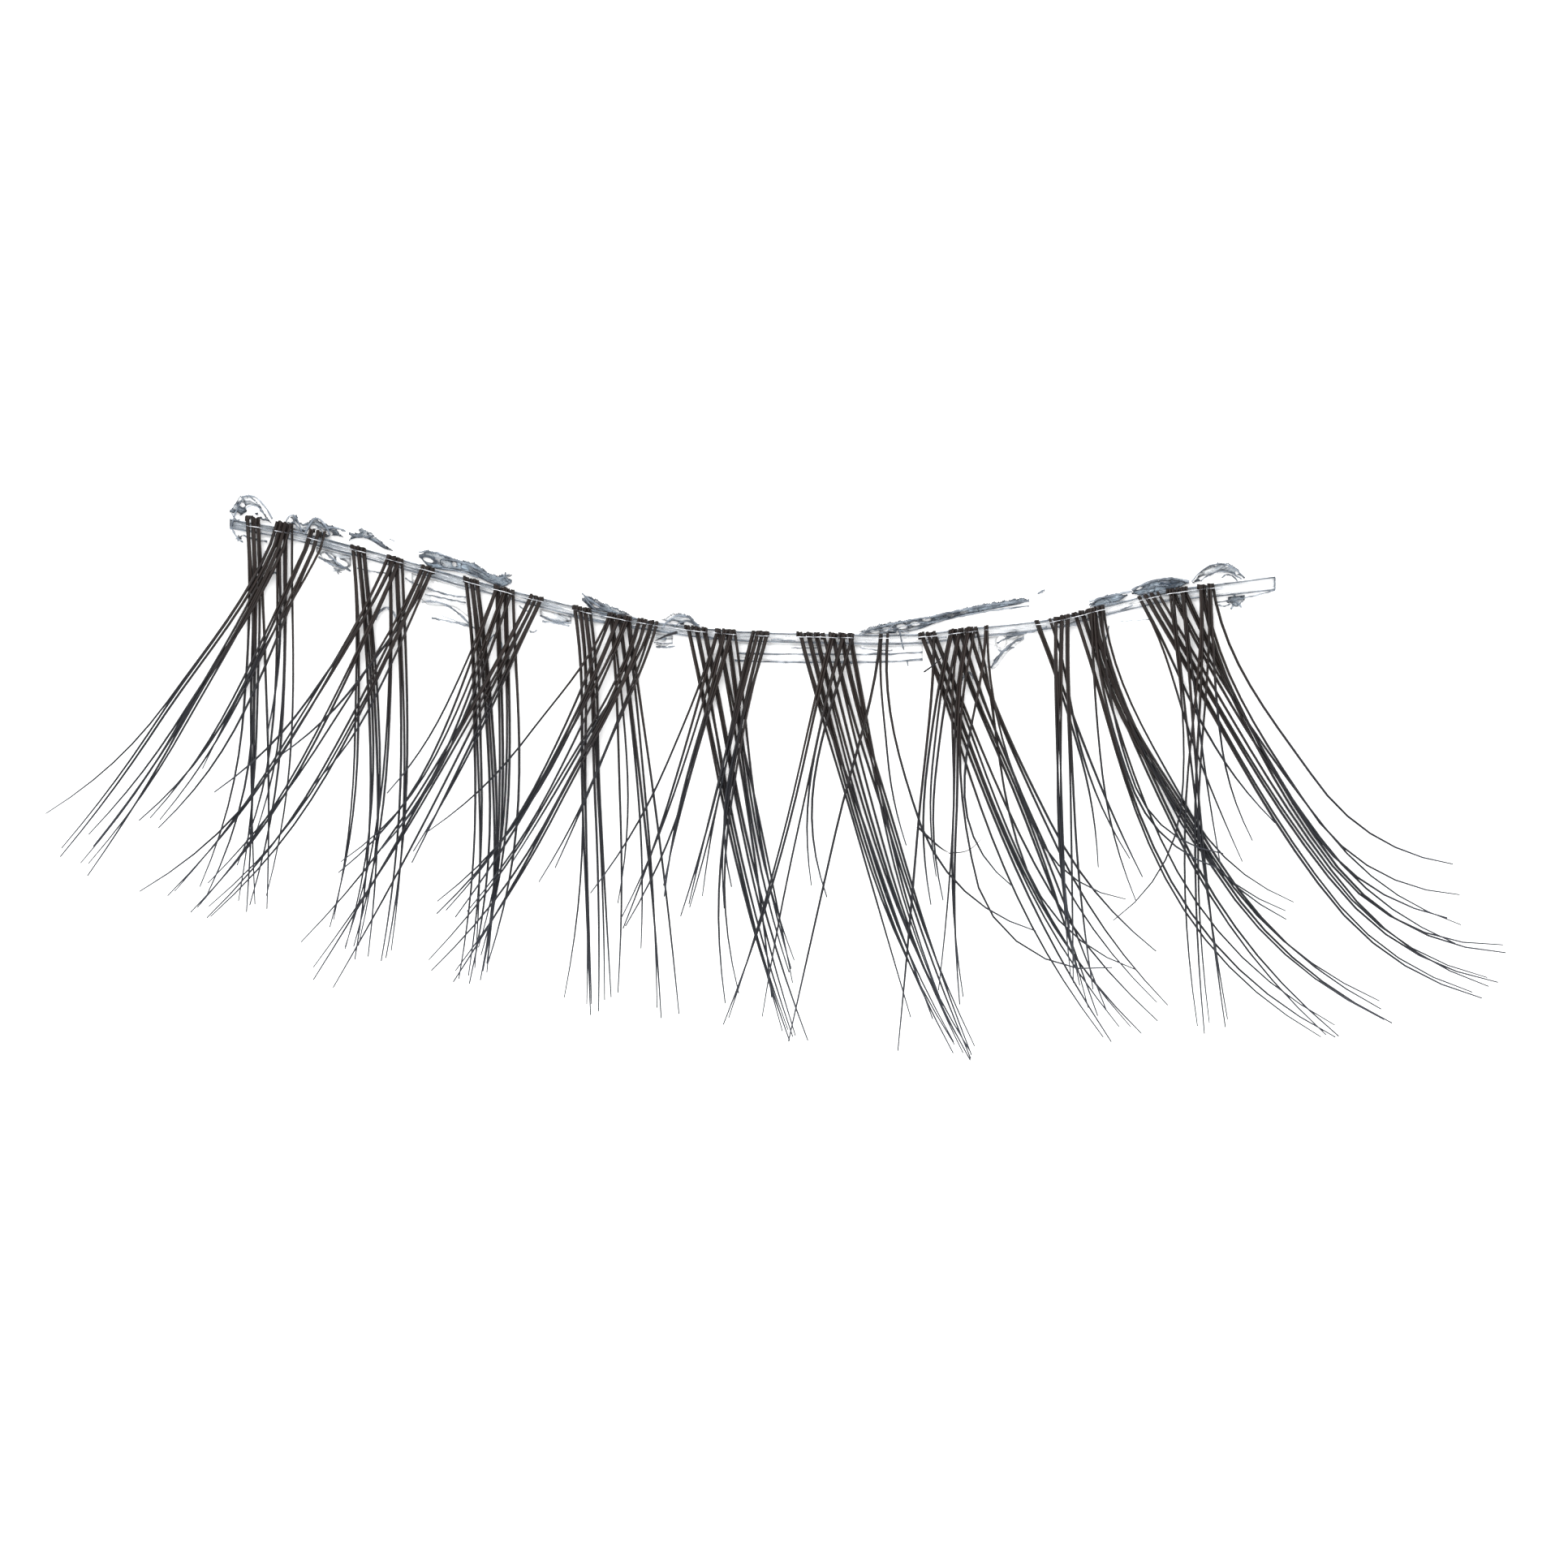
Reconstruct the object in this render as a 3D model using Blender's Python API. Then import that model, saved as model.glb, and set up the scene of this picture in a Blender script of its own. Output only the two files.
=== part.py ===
"""A false eyelash strip, lying on a flat surface with its lashes curling up.

Metres, +Z up. The band runs along +X and the lashes point towards -Y. Each cluster is three tufts tied to
the band side by side, whose locks cross each other and fan out. Seen from above, every lock is one smooth
curve. Its height follows one curled sheet that all the lashes share: flat near the band, then rising like
a parabola. Locks that would cross each other lie on layers of that sheet, one above another.
"""

from collections import namedtuple

import bmesh
import bpy
import numpy as np

# Band
BAND_LENGTH = 0.0310
BAND_RISE = 0.0034
BAND_WIDTH = 0.00040
BAND_THICKNESS = 0.00015

# Lashes
LASH_LENGTH = 0.0120
FLAT_LENGTH = 0.0048
CURL_RADIUS = 0.0088
FIBRE_WIDTH = 0.000082
LOCK_THICKNESS = 0.00010
LOCK_TIP_WIDTH = 0.000036
LOCK_TIP_THICKNESS = 0.000036
TUFT_WIDTH = 0.00055

# Square-cut heads of the tufts, and the thread that ties three of them together
HEAD_OVERHANG = 0.00006
HEAD_LENGTH = 0.00042
HEAD_COVER = 0.00002
THREAD_SIZE = 0.00009
THREAD_SETBACK = 0.00022

# Dried adhesive
FLAKE_HEIGHT = 0.0008
FLAKE_THICKNESS = 0.00008
FILM_DEPTH = 0.0012
FILM_THICKNESS = 0.00006

# Clearances
SEAT_GAP = 0.00003
LAYER_GAP = 0.00005
LOCK_STAGGER = 0.00002
HAIRLINE = 0.0000002
EDGE_GAP = 0.00004

# How far the lashes dip from the band down to their layer, in front of the films
DIP_LENGTH = 0.0014

# Shares without a length of their own. The curl weakens along the band from EASE_START to EASE_END, down
# to OUTER_END_CURL of itself. STAGGER_SHARE spreads the locks' small staggers evenly and TAPER_POWER
# thins their width. A lock's curve has two spans, and HANDLE_SHARE is the share of each that holds the
# direction at its ends. STEEPNESS is how nearly the curve passes its middle point along the line from its
# root.
EASE_START = 0.55
EASE_END = 1.0
OUTER_END_CURL = 0.35
STAGGER_SHARE = 0.43
TAPER_POWER = 0.9
HANDLE_SHARE = 0.36
STEEPNESS = 0.75
FLAKE_WAVES = 1.25

# Stations along each swept shape. A lock has the bent number of them where its middle lies further than
# BENT_SHARE of its length from the straight line between its ends, and they crowd towards the root by
# STATION_POWER.
STRAIGHT_STATIONS = 7
BENT_STATIONS = 9
BENT_SHARE = 0.10
STATION_POWER = 1.4
BAND_STATIONS = 41
THREAD_STATIONS = 5
STATIONS_PER_STEP = 2

# The back edge of the band, seen from above. along is a share of BAND_LENGTH, rise of BAND_RISE, width of
# BAND_WIDTH.
BandRow = namedtuple("BandRow", "along rise width")
BAND_ROWS = (
    (0.00, 1.00, 0.70),
    (0.06, 0.90, 0.70),
    (0.12, 0.76, 0.65),
    (0.24, 0.45, 0.65),
    (0.36, 0.18, 0.70),
    (0.45, 0.05, 0.70),
    (0.57, 0.00, 0.70),
    (0.66, 0.00, 0.70),
    (0.72, 0.06, 0.70),
    (0.78, 0.12, 0.70),
    (0.84, 0.25, 0.70),
    (0.90, 0.38, 0.80),
    (0.95, 0.44, 0.95),
    (1.00, 0.50, 1.00),
)

# The tufts of each cluster: where its middle is along the band, as a share of BAND_LENGTH, and its share of
# TUFT_WIDTH.
Tuft = namedtuple("Tuft", "name along width")
TUFTS = {
    1: (("a", 0.022, 0.85), ("b", 0.052, 0.95), ("c", 0.084, 0.95)),
    2: (("a", 0.123, 0.90), ("b", 0.158, 0.90), ("c", 0.190, 0.75)),
    3: (("a", 0.231, 0.90), ("b", 0.262, 1.10), ("c", 0.294, 0.80)),
    4: (("a", 0.336, 1.00), ("b", 0.373, 1.35), ("c", 0.400, 1.15)),
    5: (("a", 0.446, 1.30), ("b", 0.474, 1.15), ("c", 0.508, 1.00)),
    6: (("a", 0.555, 1.50), ("b", 0.585, 1.40), ("c", 0.625, 0.60)),
    7: (("a", 0.667, 1.00), ("b", 0.701, 1.55), ("c", 0.724, 0.70)),
    8: (("a", 0.775, 1.20), ("b", 0.796, 0.95), ("c", 0.813, 0.90), ("d", 0.828, 0.90)),
    9: (("a", 0.877, 1.20), ("b", 0.906, 1.20), ("c", 0.933, 0.90)),
}

# The ribbons of each cluster. A tuft's fibres leave it in one or two flat ribbons. level says whether a
# ribbon passes over or under those that it crosses, and lean how far it leans to the right of straight
# down, in degrees.
Ribbon = namedtuple("Ribbon", "tuft level lean")
RIBBONS = {
    1: (("a", "under", 4), ("b", "over", -21), ("b", "under", -1), ("c", "over", -25)),
    2: (("a", "under", 6), ("b", "over", -24), ("b", "under", 2), ("c", "over", -24)),
    3: (("a", "under", 8), ("b", "over", -21), ("b", "under", 1), ("c", "over", -27)),
    4: (("a", "under", 9), ("b", "over", -22), ("b", "under", 7), ("c", "over", -16)),
    5: (("a", "under", 13), ("b", "over", -16), ("b", "under", 9), ("c", "over", -16)),
    6: (("a", "under", 14), ("b", "over", -16), ("b", "under", 11), ("c", "over", -5)),
    7: (("a", "over", 0), ("a", "under", 23), ("b", "over", -14), ("b", "under", 16), ("c", "over", 0)),
    8: (("a", "under", 22), ("b", "over", -1), ("c", "under", 25), ("d", "over", 2), ("d", "under", 16)),
    9: (("a", "under", 32), ("b", "over", 6), ("b", "under", 26), ("c", "over", 3), ("c", "under", 22)),
}

# The locks of each ribbon, side by side from left to right in the order of the rows. Seen from above a
# lock sets off with its ribbon's lean and bends smoothly to its tip, through the middle point that its
# row gives. Both points are placed from the middle of the tuft, across to the right and down, as shares
# of LASH_LENGTH. fibres is how many lie side by side in the lock.
Lock = namedtuple("Lock", "tuft level middle_across middle_drop tip_across tip_drop fibres")
LOCKS = {
    1: (
        ("a", "under", -0.01, 0.45, -0.12, 0.90, 2),
        ("a", "under", 0.01, 0.47, -0.01, 0.95, 4),
        ("b", "over", -0.28, 0.41, -0.59, 0.70, 1),
        ("b", "over", -0.31, 0.48, -0.54, 0.80, 2),
        ("b", "over", -0.26, 0.49, -0.50, 0.84, 3),
        ("b", "over", -0.24, 0.46, -0.46, 0.77, 2),
        ("b", "under", -0.03, 0.46, -0.12, 0.83, 1),
        ("b", "under", -0.01, 0.26, -0.05, 0.50, 1),
        ("b", "under", 0.00, 0.42, -0.07, 0.77, 1),
        ("b", "under", 0.01, 0.47, -0.06, 0.93, 2),
        ("c", "over", -0.20, 0.42, -0.40, 0.71, 4),
        ("c", "over", -0.14, 0.29, -0.29, 0.57, 1),
    ),
    2: (
        ("a", "under", 0.00, 0.46, -0.05, 0.94, 2),
        ("a", "under", 0.04, 0.45, -0.01, 1.00, 4),
        ("b", "over", -0.29, 0.49, -0.63, 0.82, 1),
        ("b", "over", -0.27, 0.46, -0.56, 0.84, 2),
        ("b", "over", -0.20, 0.34, -0.43, 0.59, 1),
        ("b", "over", -0.21, 0.46, -0.50, 0.87, 2),
        ("b", "under", -0.02, 0.44, -0.12, 0.96, 1),
        ("b", "under", -0.01, 0.44, -0.09, 0.96, 1),
        ("b", "under", 0.02, 0.43, -0.02, 0.98, 3),
        ("c", "over", -0.26, 0.43, -0.54, 0.78, 1),
        ("c", "over", -0.24, 0.47, -0.55, 0.86, 3),
        ("c", "over", -0.16, 0.27, -0.36, 0.47, 1),
        ("c", "over", -0.14, 0.32, -0.29, 0.53, 1),
    ),
    3: (
        ("a", "under", 0.02, 0.46, 0.00, 0.98, 3),
        ("a", "under", 0.05, 0.46, 0.03, 0.98, 3),
        ("b", "over", -0.13, 0.28, -0.28, 0.51, 1),
        ("b", "over", -0.17, 0.40, -0.41, 0.70, 2),
        ("b", "over", -0.12, 0.37, -0.30, 0.65, 2),
        ("b", "under", -0.01, 0.46, -0.06, 0.94, 2),
        ("b", "under", 0.02, 0.46, -0.05, 0.91, 3),
        ("c", "over", -0.28, 0.46, -0.58, 0.85, 1),
        ("c", "over", -0.26, 0.48, -0.54, 0.94, 3),
        ("c", "over", -0.14, 0.32, -0.30, 0.64, 2),
    ),
    4: (
        ("a", "under", 0.00, 0.45, -0.05, 0.96, 1),
        ("a", "under", 0.01, 0.50, 0.03, 1.00, 2),
        ("a", "under", 0.03, 0.47, 0.04, 0.98, 3),
        ("a", "under", 0.05, 0.47, 0.08, 0.96, 1),
        ("b", "over", -0.22, 0.30, -0.46, 0.54, 1),
        ("b", "over", -0.17, 0.36, -0.44, 0.72, 3),
        ("b", "over", -0.16, 0.38, -0.39, 0.74, 2),
        ("b", "under", 0.00, 0.47, -0.01, 0.93, 1),
        ("b", "under", 0.02, 0.35, 0.00, 0.71, 1),
        ("b", "under", 0.05, 0.41, 0.07, 0.82, 1),
        ("b", "under", 0.06, 0.49, 0.09, 0.98, 2),
        ("b", "under", 0.09, 0.47, 0.16, 0.98, 1),
        ("c", "over", -0.24, 0.45, -0.54, 0.86, 2),
        ("c", "over", -0.22, 0.45, -0.48, 0.87, 2),
        ("c", "over", -0.15, 0.30, -0.32, 0.60, 1),
        ("c", "over", -0.12, 0.34, -0.28, 0.64, 1),
        ("c", "over", -0.11, 0.33, -0.23, 0.61, 1),
    ),
    5: (
        ("a", "under", 0.09, 0.52, 0.22, 1.01, 3),
        ("a", "under", 0.11, 0.52, 0.25, 1.01, 3),
        ("b", "over", -0.14, 0.32, -0.33, 0.65, 1),
        ("b", "over", -0.11, 0.38, -0.25, 0.73, 3),
        ("b", "over", -0.08, 0.33, -0.15, 0.64, 2),
        ("b", "under", 0.07, 0.45, 0.15, 0.89, 2),
        ("b", "under", 0.07, 0.43, 0.17, 0.84, 3),
        ("c", "over", -0.10, 0.36, -0.19, 0.69, 2),
        ("c", "over", -0.09, 0.35, -0.16, 0.67, 2),
        ("c", "over", -0.08, 0.36, -0.10, 0.68, 1),
        ("c", "over", -0.08, 0.45, -0.07, 0.90, 2),
        ("c", "over", -0.07, 0.35, -0.06, 0.63, 1),
    ),
    6: (
        ("a", "under", 0.13, 0.50, 0.27, 0.95, 2),
        ("a", "under", 0.14, 0.52, 0.36, 1.03, 3),
        ("a", "under", 0.16, 0.52, 0.39, 1.04, 2),
        ("b", "over", -0.13, 0.47, -0.28, 0.96, 2),
        ("b", "over", -0.11, 0.46, -0.21, 0.94, 1),
        ("b", "over", -0.07, 0.30, -0.08, 0.62, 1),
        ("b", "over", -0.06, 0.32, -0.03, 0.65, 1),
        ("b", "under", 0.13, 0.53, 0.31, 1.04, 4),
        ("b", "under", 0.12, 0.48, 0.26, 0.92, 2),
        ("c", "over", -0.12, 0.48, -0.24, 1.00, 1),
        ("c", "over", 0.01, 0.29, 0.06, 0.52, 1),
        ("c", "over", 0.09, 0.45, 0.38, 0.73, 1),
    ),
    7: (
        ("a", "over", -0.02, 0.48, -0.06, 1.03, 1),
        ("a", "under", 0.19, 0.53, 0.45, 1.00, 3),
        ("a", "under", 0.23, 0.54, 0.54, 0.98, 3),
        ("b", "over", -0.09, 0.34, -0.08, 0.68, 1),
        ("b", "over", -0.07, 0.31, -0.07, 0.61, 1),
        ("b", "over", -0.06, 0.35, -0.04, 0.67, 1),
        ("b", "over", -0.03, 0.47, -0.07, 0.89, 1),
        ("b", "over", -0.02, 0.47, -0.01, 0.91, 2),
        ("b", "over", 0.04, 0.62, 0.38, 0.83, 1),
        ("b", "under", 0.16, 0.47, 0.32, 0.95, 3),
        ("b", "under", 0.21, 0.52, 0.50, 0.94, 2),
        ("b", "under", 0.21, 0.47, 0.47, 0.80, 1),
        ("b", "under", 0.15, 0.57, 0.43, 0.84, 1),
        ("c", "over", -0.05, 0.41, 0.08, 0.64, 1),
        ("c", "over", 0.11, 0.50, 0.33, 0.68, 1),
    ),
    8: (
        ("a", "under", 0.09, 0.30, 0.14, 0.61, 1),
        ("a", "under", 0.13, 0.35, 0.26, 0.63, 1),
        ("a", "under", 0.11, 0.32, 0.24, 0.58, 1),
        ("b", "over", -0.01, 0.38, 0.01, 0.76, 2),
        ("b", "over", 0.01, 0.45, 0.04, 0.91, 4),
        ("c", "under", 0.19, 0.58, 0.62, 1.05, 3),
        ("c", "under", 0.25, 0.56, 0.62, 1.04, 2),
        ("d", "over", 0.02, 0.38, 0.11, 0.72, 1),
        ("d", "over", 0.09, 0.44, 0.31, 0.63, 2),
        ("d", "under", 0.28, 0.61, 0.72, 1.01, 2),
        ("d", "under", 0.28, 0.60, 0.70, 0.98, 2),
        ("d", "under", 0.21, 0.50, 0.48, 0.76, 3),
    ),
    9: (
        ("a", "under", 0.12, 0.39, 0.23, 0.66, 1),
        ("a", "under", 0.15, 0.34, 0.32, 0.56, 1),
        ("a", "under", 0.45, 0.73, 0.82, 0.98, 2),
        ("a", "under", 0.47, 0.71, 0.85, 0.96, 3),
        ("b", "over", 0.02, 0.52, -0.15, 0.82, 1),
        ("b", "over", 0.05, 0.55, 0.12, 1.07, 2),
        ("b", "over", 0.06, 0.35, 0.11, 0.68, 1),
        ("b", "under", 0.36, 0.60, 0.70, 0.86, 2),
        ("b", "under", 0.38, 0.67, 0.81, 0.88, 2),
        ("c", "over", -0.03, 0.56, -0.01, 1.10, 3),
        ("c", "over", 0.04, 0.37, 0.12, 0.63, 1),
        ("c", "under", 0.25, 0.56, 0.61, 0.79, 2),
        ("c", "under", 0.27, 0.48, 0.61, 0.69, 1),
    ),
}

# Flakes of dried adhesive behind the band. first and last are shares of BAND_LENGTH. low and high are the
# lower and upper edge at even steps from first to last, as shares of FLAKE_HEIGHT above the band's back
# edge.
Flake = namedtuple("Flake", "first last low high")
FLAKES = (
    (0.000, 0.040, (0.00, 0.15, 0.40, 0.15, 0.00), (0.45, 0.85, 0.95, 0.60, 0.15)),
    (0.052, 0.109, (0.00, 0.00, 0.00, 0.25, 0.00, 0.15, 0.10), (0.12, 0.60, 0.30, 0.62, 0.50, 0.50, 0.25)),
    (0.114, 0.156, (0.00, 0.36, 0.34, 0.20, 0.10), (0.25, 0.66, 0.62, 0.40, 0.28)),
    (0.181, 0.270, (0.00, 0.00, 0.10, 0.12, 0.00, 0.00), (0.58, 0.60, 0.55, 0.60, 0.36, 0.60)),
    (0.337, 0.385, (0.00, 0.00, 0.00, 0.00), (0.60, 0.36, 0.22, 0.10)),
    (0.413, 0.450, (0.00, 0.00, 0.00, 0.00), (0.12, 0.38, 0.40, 0.10)),
    (0.602, 0.765, (0.00, 0.00, 0.10, 0.38, 0.50, 0.60, 0.70), (0.12, 0.40, 0.52, 0.62, 0.76, 0.84, 0.92)),
    (0.822, 0.859, (0.00, 0.00, 0.00), (0.28, 0.32, 0.26)),
    (0.863, 0.917, (0.00, 0.00, 0.00, 0.00), (0.32, 0.44, 0.36, 0.28)),
    (0.921, 0.971, (0.00, 0.20, 0.40, 0.30, 0.00), (0.22, 0.60, 0.72, 0.60, 0.16)),
)

# Films of dried adhesive in front of the band. deep is how far the film reaches from the band's front
# edge, at even steps from first to last, as a share of FILM_DEPTH.
Film = namedtuple("Film", "first last deep")
FILMS = (
    (0.083, 0.116, (0.12, 0.30, 0.45, 0.25)),
    (0.174, 0.229, (0.35, 0.66, 0.62, 0.55, 0.70)),
    (0.297, 0.327, (0.15, 0.28, 0.12)),
    (0.400, 0.424, (0.12, 0.32, 0.20)),
    (0.485, 0.663, (0.38, 0.42, 0.40, 0.42, 0.40, 0.42, 0.36)),
    (0.716, 0.760, (0.55, 0.80, 0.40, 0.15)),
    (0.955, 0.971, (0.10, 0.26, 0.12)),
)


def clear_scene():
    for old in list(bpy.data.objects):
        bpy.data.objects.remove(old, do_unlink=True)


def make_material(name, colour, roughness):
    """A Principled material with the given base colour."""
    material = bpy.data.materials.new(name)
    material.use_nodes = True
    shader = material.node_tree.nodes["Principled BSDF"]
    shader.inputs["Base Color"].default_value = (*colour, 1.0)
    shader.inputs["Roughness"].default_value = roughness
    shader.inputs["Metallic"].default_value = 0.0
    material.diffuse_color = (*colour, 1.0)
    return material


def make_object(name, mesh, material, parent):
    """A named object with one material, carried by the strip's empty."""
    mesh.materials.append(material)
    obj = bpy.data.objects.new(name, mesh)
    bpy.context.scene.collection.objects.link(obj)
    obj.parent = parent
    return obj


def loft(name, rings):
    """A closed mesh through rings of equal point count, capped at both ends. rings is (ring, point, xyz)."""
    shape = bmesh.new()
    loops = [[shape.verts.new(point) for point in ring] for ring in rings]
    sides = len(loops[0])
    for here, there in zip(loops, loops[1:]):
        for side in range(sides):
            after = (side + 1) % sides
            shape.faces.new((here[side], here[after], there[after], there[side]))
    shape.faces.new(loops[0])
    shape.faces.new(loops[-1])
    bmesh.ops.triangulate(shape, faces=shape.faces)
    bmesh.ops.recalc_face_normals(shape, faces=shape.faces)
    mesh = bpy.data.meshes.new(name)
    shape.to_mesh(mesh)
    shape.free()
    return mesh


def smoothed(along, places, values):
    """Values at even or uneven places, joined by a smooth curve, and carried on straight past both ends."""
    places = np.asarray(places, float)
    values = np.asarray(values, float)
    slopes = np.gradient(values, places)
    span = np.clip(np.searchsorted(places, along, side="right") - 1, 0, len(places) - 2)
    step = places[span + 1] - places[span]
    t = (along - places[span]) / step
    inside = np.clip(t, 0.0, 1.0)
    curve = (
        (2 * inside**3 - 3 * inside**2 + 1) * values[span]
        + (inside**3 - 2 * inside**2 + inside) * step * slopes[span]
        + (3 * inside**2 - 2 * inside**3) * values[span + 1]
        + (inside**3 - inside**2) * step * slopes[span + 1]
    )
    beyond = (t - inside) * step
    end_slope = np.where(beyond > 0, slopes[-1], slopes[0])
    return curve + beyond * end_slope


def smoothstep(low, high, value):
    t = np.clip((value - low) / (high - low), 0.0, 1.0)
    return t * t * (3 - 2 * t)


BAND = BandRow(*(np.array(column) for column in zip(*BAND_ROWS)))


def back_edge(along):
    """The y of the band's back edge at a share of its length."""
    return smoothed(along, BAND.along, BAND.rise) * BAND_RISE


def band_width(along):
    return np.interp(along, BAND.along, BAND.width) * BAND_WIDTH


def front_edge(along):
    return back_edge(along) - band_width(along)


def band_direction(along):
    """The unit direction of the band, seen from above."""
    step = 1 / BAND_STATIONS
    run = np.array([2 * step * BAND_LENGTH, back_edge(along + step) - back_edge(along - step)])
    return run / np.linalg.norm(run)


LAYER_STEP = LOCK_THICKNESS + LAYER_GAP
HEAD_BOTTOM = BAND_THICKNESS + SEAT_GAP
HEAD_THICKNESS = LAYER_STEP + LOCK_THICKNESS + 2 * HEAD_COVER


def sheet_height(x, y, cluster, level):
    """The height of a lock's middle: level on the band, down to its layer in front of it, then curling up."""
    over = level == "over"
    on_band = HEAD_BOTTOM + HEAD_COVER + LOCK_THICKNESS / 2 + over * LAYER_STEP
    layer = (cluster + 1) % 2 + 2 * over
    in_front = LOCK_THICKNESS / 2 + layer * LAYER_STEP
    below = back_edge(x / BAND_LENGTH) - y
    turned = 1 - (1 - OUTER_END_CURL) * smoothstep(EASE_START, EASE_END, x / BAND_LENGTH)
    curl = np.clip(below - FLAT_LENGTH, 0.0, None) ** 2 / (2 * CURL_RADIUS) * turned
    return on_band + (in_front - on_band) * smoothstep(FILM_DEPTH, FILM_DEPTH + DIP_LENGTH, below) + curl


def unit(vector):
    return vector / np.linalg.norm(vector)


def cubic_span(start, leaving, end, arriving, t):
    """A cubic span from start to end, with the handles that it leaves and arrives along."""
    weights = np.stack([(1 - t) ** 3, 3 * t * (1 - t) ** 2, 3 * t * t * (1 - t), t**3], axis=1)
    return weights @ np.stack([start, start + leaving, end - arriving, end])


def plan_curve(root, lean, middle, tip, t):
    """A smooth curve seen from above: it sets off at a lean, passes middle and bends on evenly to its tip."""
    upper, lower = np.linalg.norm(middle - root), np.linalg.norm(tip - middle)
    setting_off = np.array([np.sin(lean), -np.cos(lean)])
    to_tip = unit(tip - middle)
    passing = unit(STEEPNESS * unit(middle - root) + (1 - STEEPNESS) * to_tip)
    ending = 2 * (passing @ to_tip) * to_tip - passing
    turn = upper / (upper + lower)
    before = np.clip(t / turn, 0.0, 1.0)
    after = np.clip((t - turn) / (1 - turn), 0.0, 1.0)
    reach = HANDLE_SHARE * upper
    first = cubic_span(root, reach * setting_off, middle, reach * passing, before)
    reach = HANDLE_SHARE * lower
    second = cubic_span(middle, reach * passing, tip, reach * ending, after)
    return np.where((t < turn)[:, None], first, second)


def lock_stations(root, middle, tip):
    """The shares of a lock's path that its sections are set at."""
    away = np.linalg.norm(middle - (root + tip) / 2) / np.linalg.norm(tip - root)
    count = BENT_STATIONS if away > BENT_SHARE else STRAIGHT_STATIONS
    return np.linspace(0.0, 1.0, count) ** STATION_POWER


def lock_rings(path, stations, root_width):
    """Diamond sections along a path, wide across the lock and thin through it, narrowing to the tip."""
    run = np.gradient(path, axis=0)
    run /= np.linalg.norm(run, axis=1, keepdims=True)
    aside = np.cross(run, [0.0, 0.0, 1.0])
    aside /= np.linalg.norm(aside, axis=1, keepdims=True)
    normal = np.cross(aside, run)
    left = 1 - stations[:, None]
    width = LOCK_TIP_WIDTH + (root_width - LOCK_TIP_WIDTH) * left**TAPER_POWER
    thick = LOCK_TIP_THICKNESS + (LOCK_THICKNESS - LOCK_TIP_THICKNESS) * left
    corners = (
        path + aside * width / 2,
        path + normal * thick / 2,
        path - aside * width / 2,
        path - normal * thick / 2,
    )
    return np.stack(corners, axis=1)


def lock_mesh(name, cluster, number, lock, tuft, lean, share):
    """One lock of a ribbon. share is its middle's place across the ribbon, from 0 at the left edge to 1."""
    x = tuft.along * BAND_LENGTH + (share - 0.5) * tuft.width * TUFT_WIDTH
    root = np.array([x, back_edge(x / BAND_LENGTH)])
    tuft_middle = np.array([tuft.along * BAND_LENGTH, back_edge(tuft.along)])
    middle = tuft_middle + LASH_LENGTH * np.array([lock.middle_across, -lock.middle_drop])
    tip = tuft_middle + LASH_LENGTH * np.array([lock.tip_across, -lock.tip_drop])
    stations = lock_stations(root, middle, tip)
    plan = plan_curve(root, np.radians(lean), middle, tip, stations)
    stagger = LOCK_STAGGER * (STAGGER_SHARE * number % 1)
    height = sheet_height(plan[:, 0], plan[:, 1], cluster, lock.level) + stagger
    path = np.column_stack([plan, height])
    return loft(name, lock_rings(path, stations, lock.fibres * FIBRE_WIDTH))


def head_mesh(name, tuft):
    """The square-cut head of a tuft, a flat block across the band."""
    run = band_direction(tuft.along)
    out = np.array([-run[1], run[0]])
    middle = np.array([tuft.along * BAND_LENGTH, back_edge(tuft.along)])
    half = run * tuft.width * TUFT_WIDTH / 2
    back = middle + out * HEAD_OVERHANG
    front = back - out * HEAD_LENGTH
    corners = np.stack([back - half, back + half, front + half, front - half])
    levels = HEAD_BOTTOM, HEAD_BOTTOM + HEAD_THICKNESS
    return loft(name, [np.column_stack([corners, np.full(4, level)]) for level in levels])


def thread_mesh(name, first, last):
    """The run of thread that ties one cluster's heads together, along the band."""
    along = np.linspace(first, last, THREAD_STATIONS)
    level = np.full(THREAD_STATIONS, HEAD_BOTTOM + HEAD_THICKNESS / 2)
    middle = np.column_stack([along * BAND_LENGTH, back_edge(along) - THREAD_SETBACK, level])
    half = THREAD_SIZE / 2
    around = np.array([[0, half, half], [0, -half, half], [0, -half, -half], [0, half, -half]])
    return loft(name, middle[:, None, :] + around)


def cluster_meshes(name, cluster, tufts):
    """The heads of a cluster's tufts, and their locks laid side by side in ribbons."""
    meshes = [head_mesh(f"{name}_head_{tuft.name}", tuft) for tuft in tufts.values()]
    locks = [Lock(*row) for row in LOCKS[cluster]]
    for ribbon in (Ribbon(*row) for row in RIBBONS[cluster]):
        own = [(number, lock) for number, lock in enumerate(locks, 1) if (lock.tuft, lock.level) == ribbon[:2]]
        total = sum(lock.fibres for _, lock in own)
        laid = 0
        for number, lock in own:
            share = (laid + lock.fibres / 2) / total
            laid += lock.fibres
            shape = f"{name}_lock_{number}"
            meshes.append(lock_mesh(shape, cluster, number, lock, tufts[lock.tuft], ribbon.lean, share))
    return meshes


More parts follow.
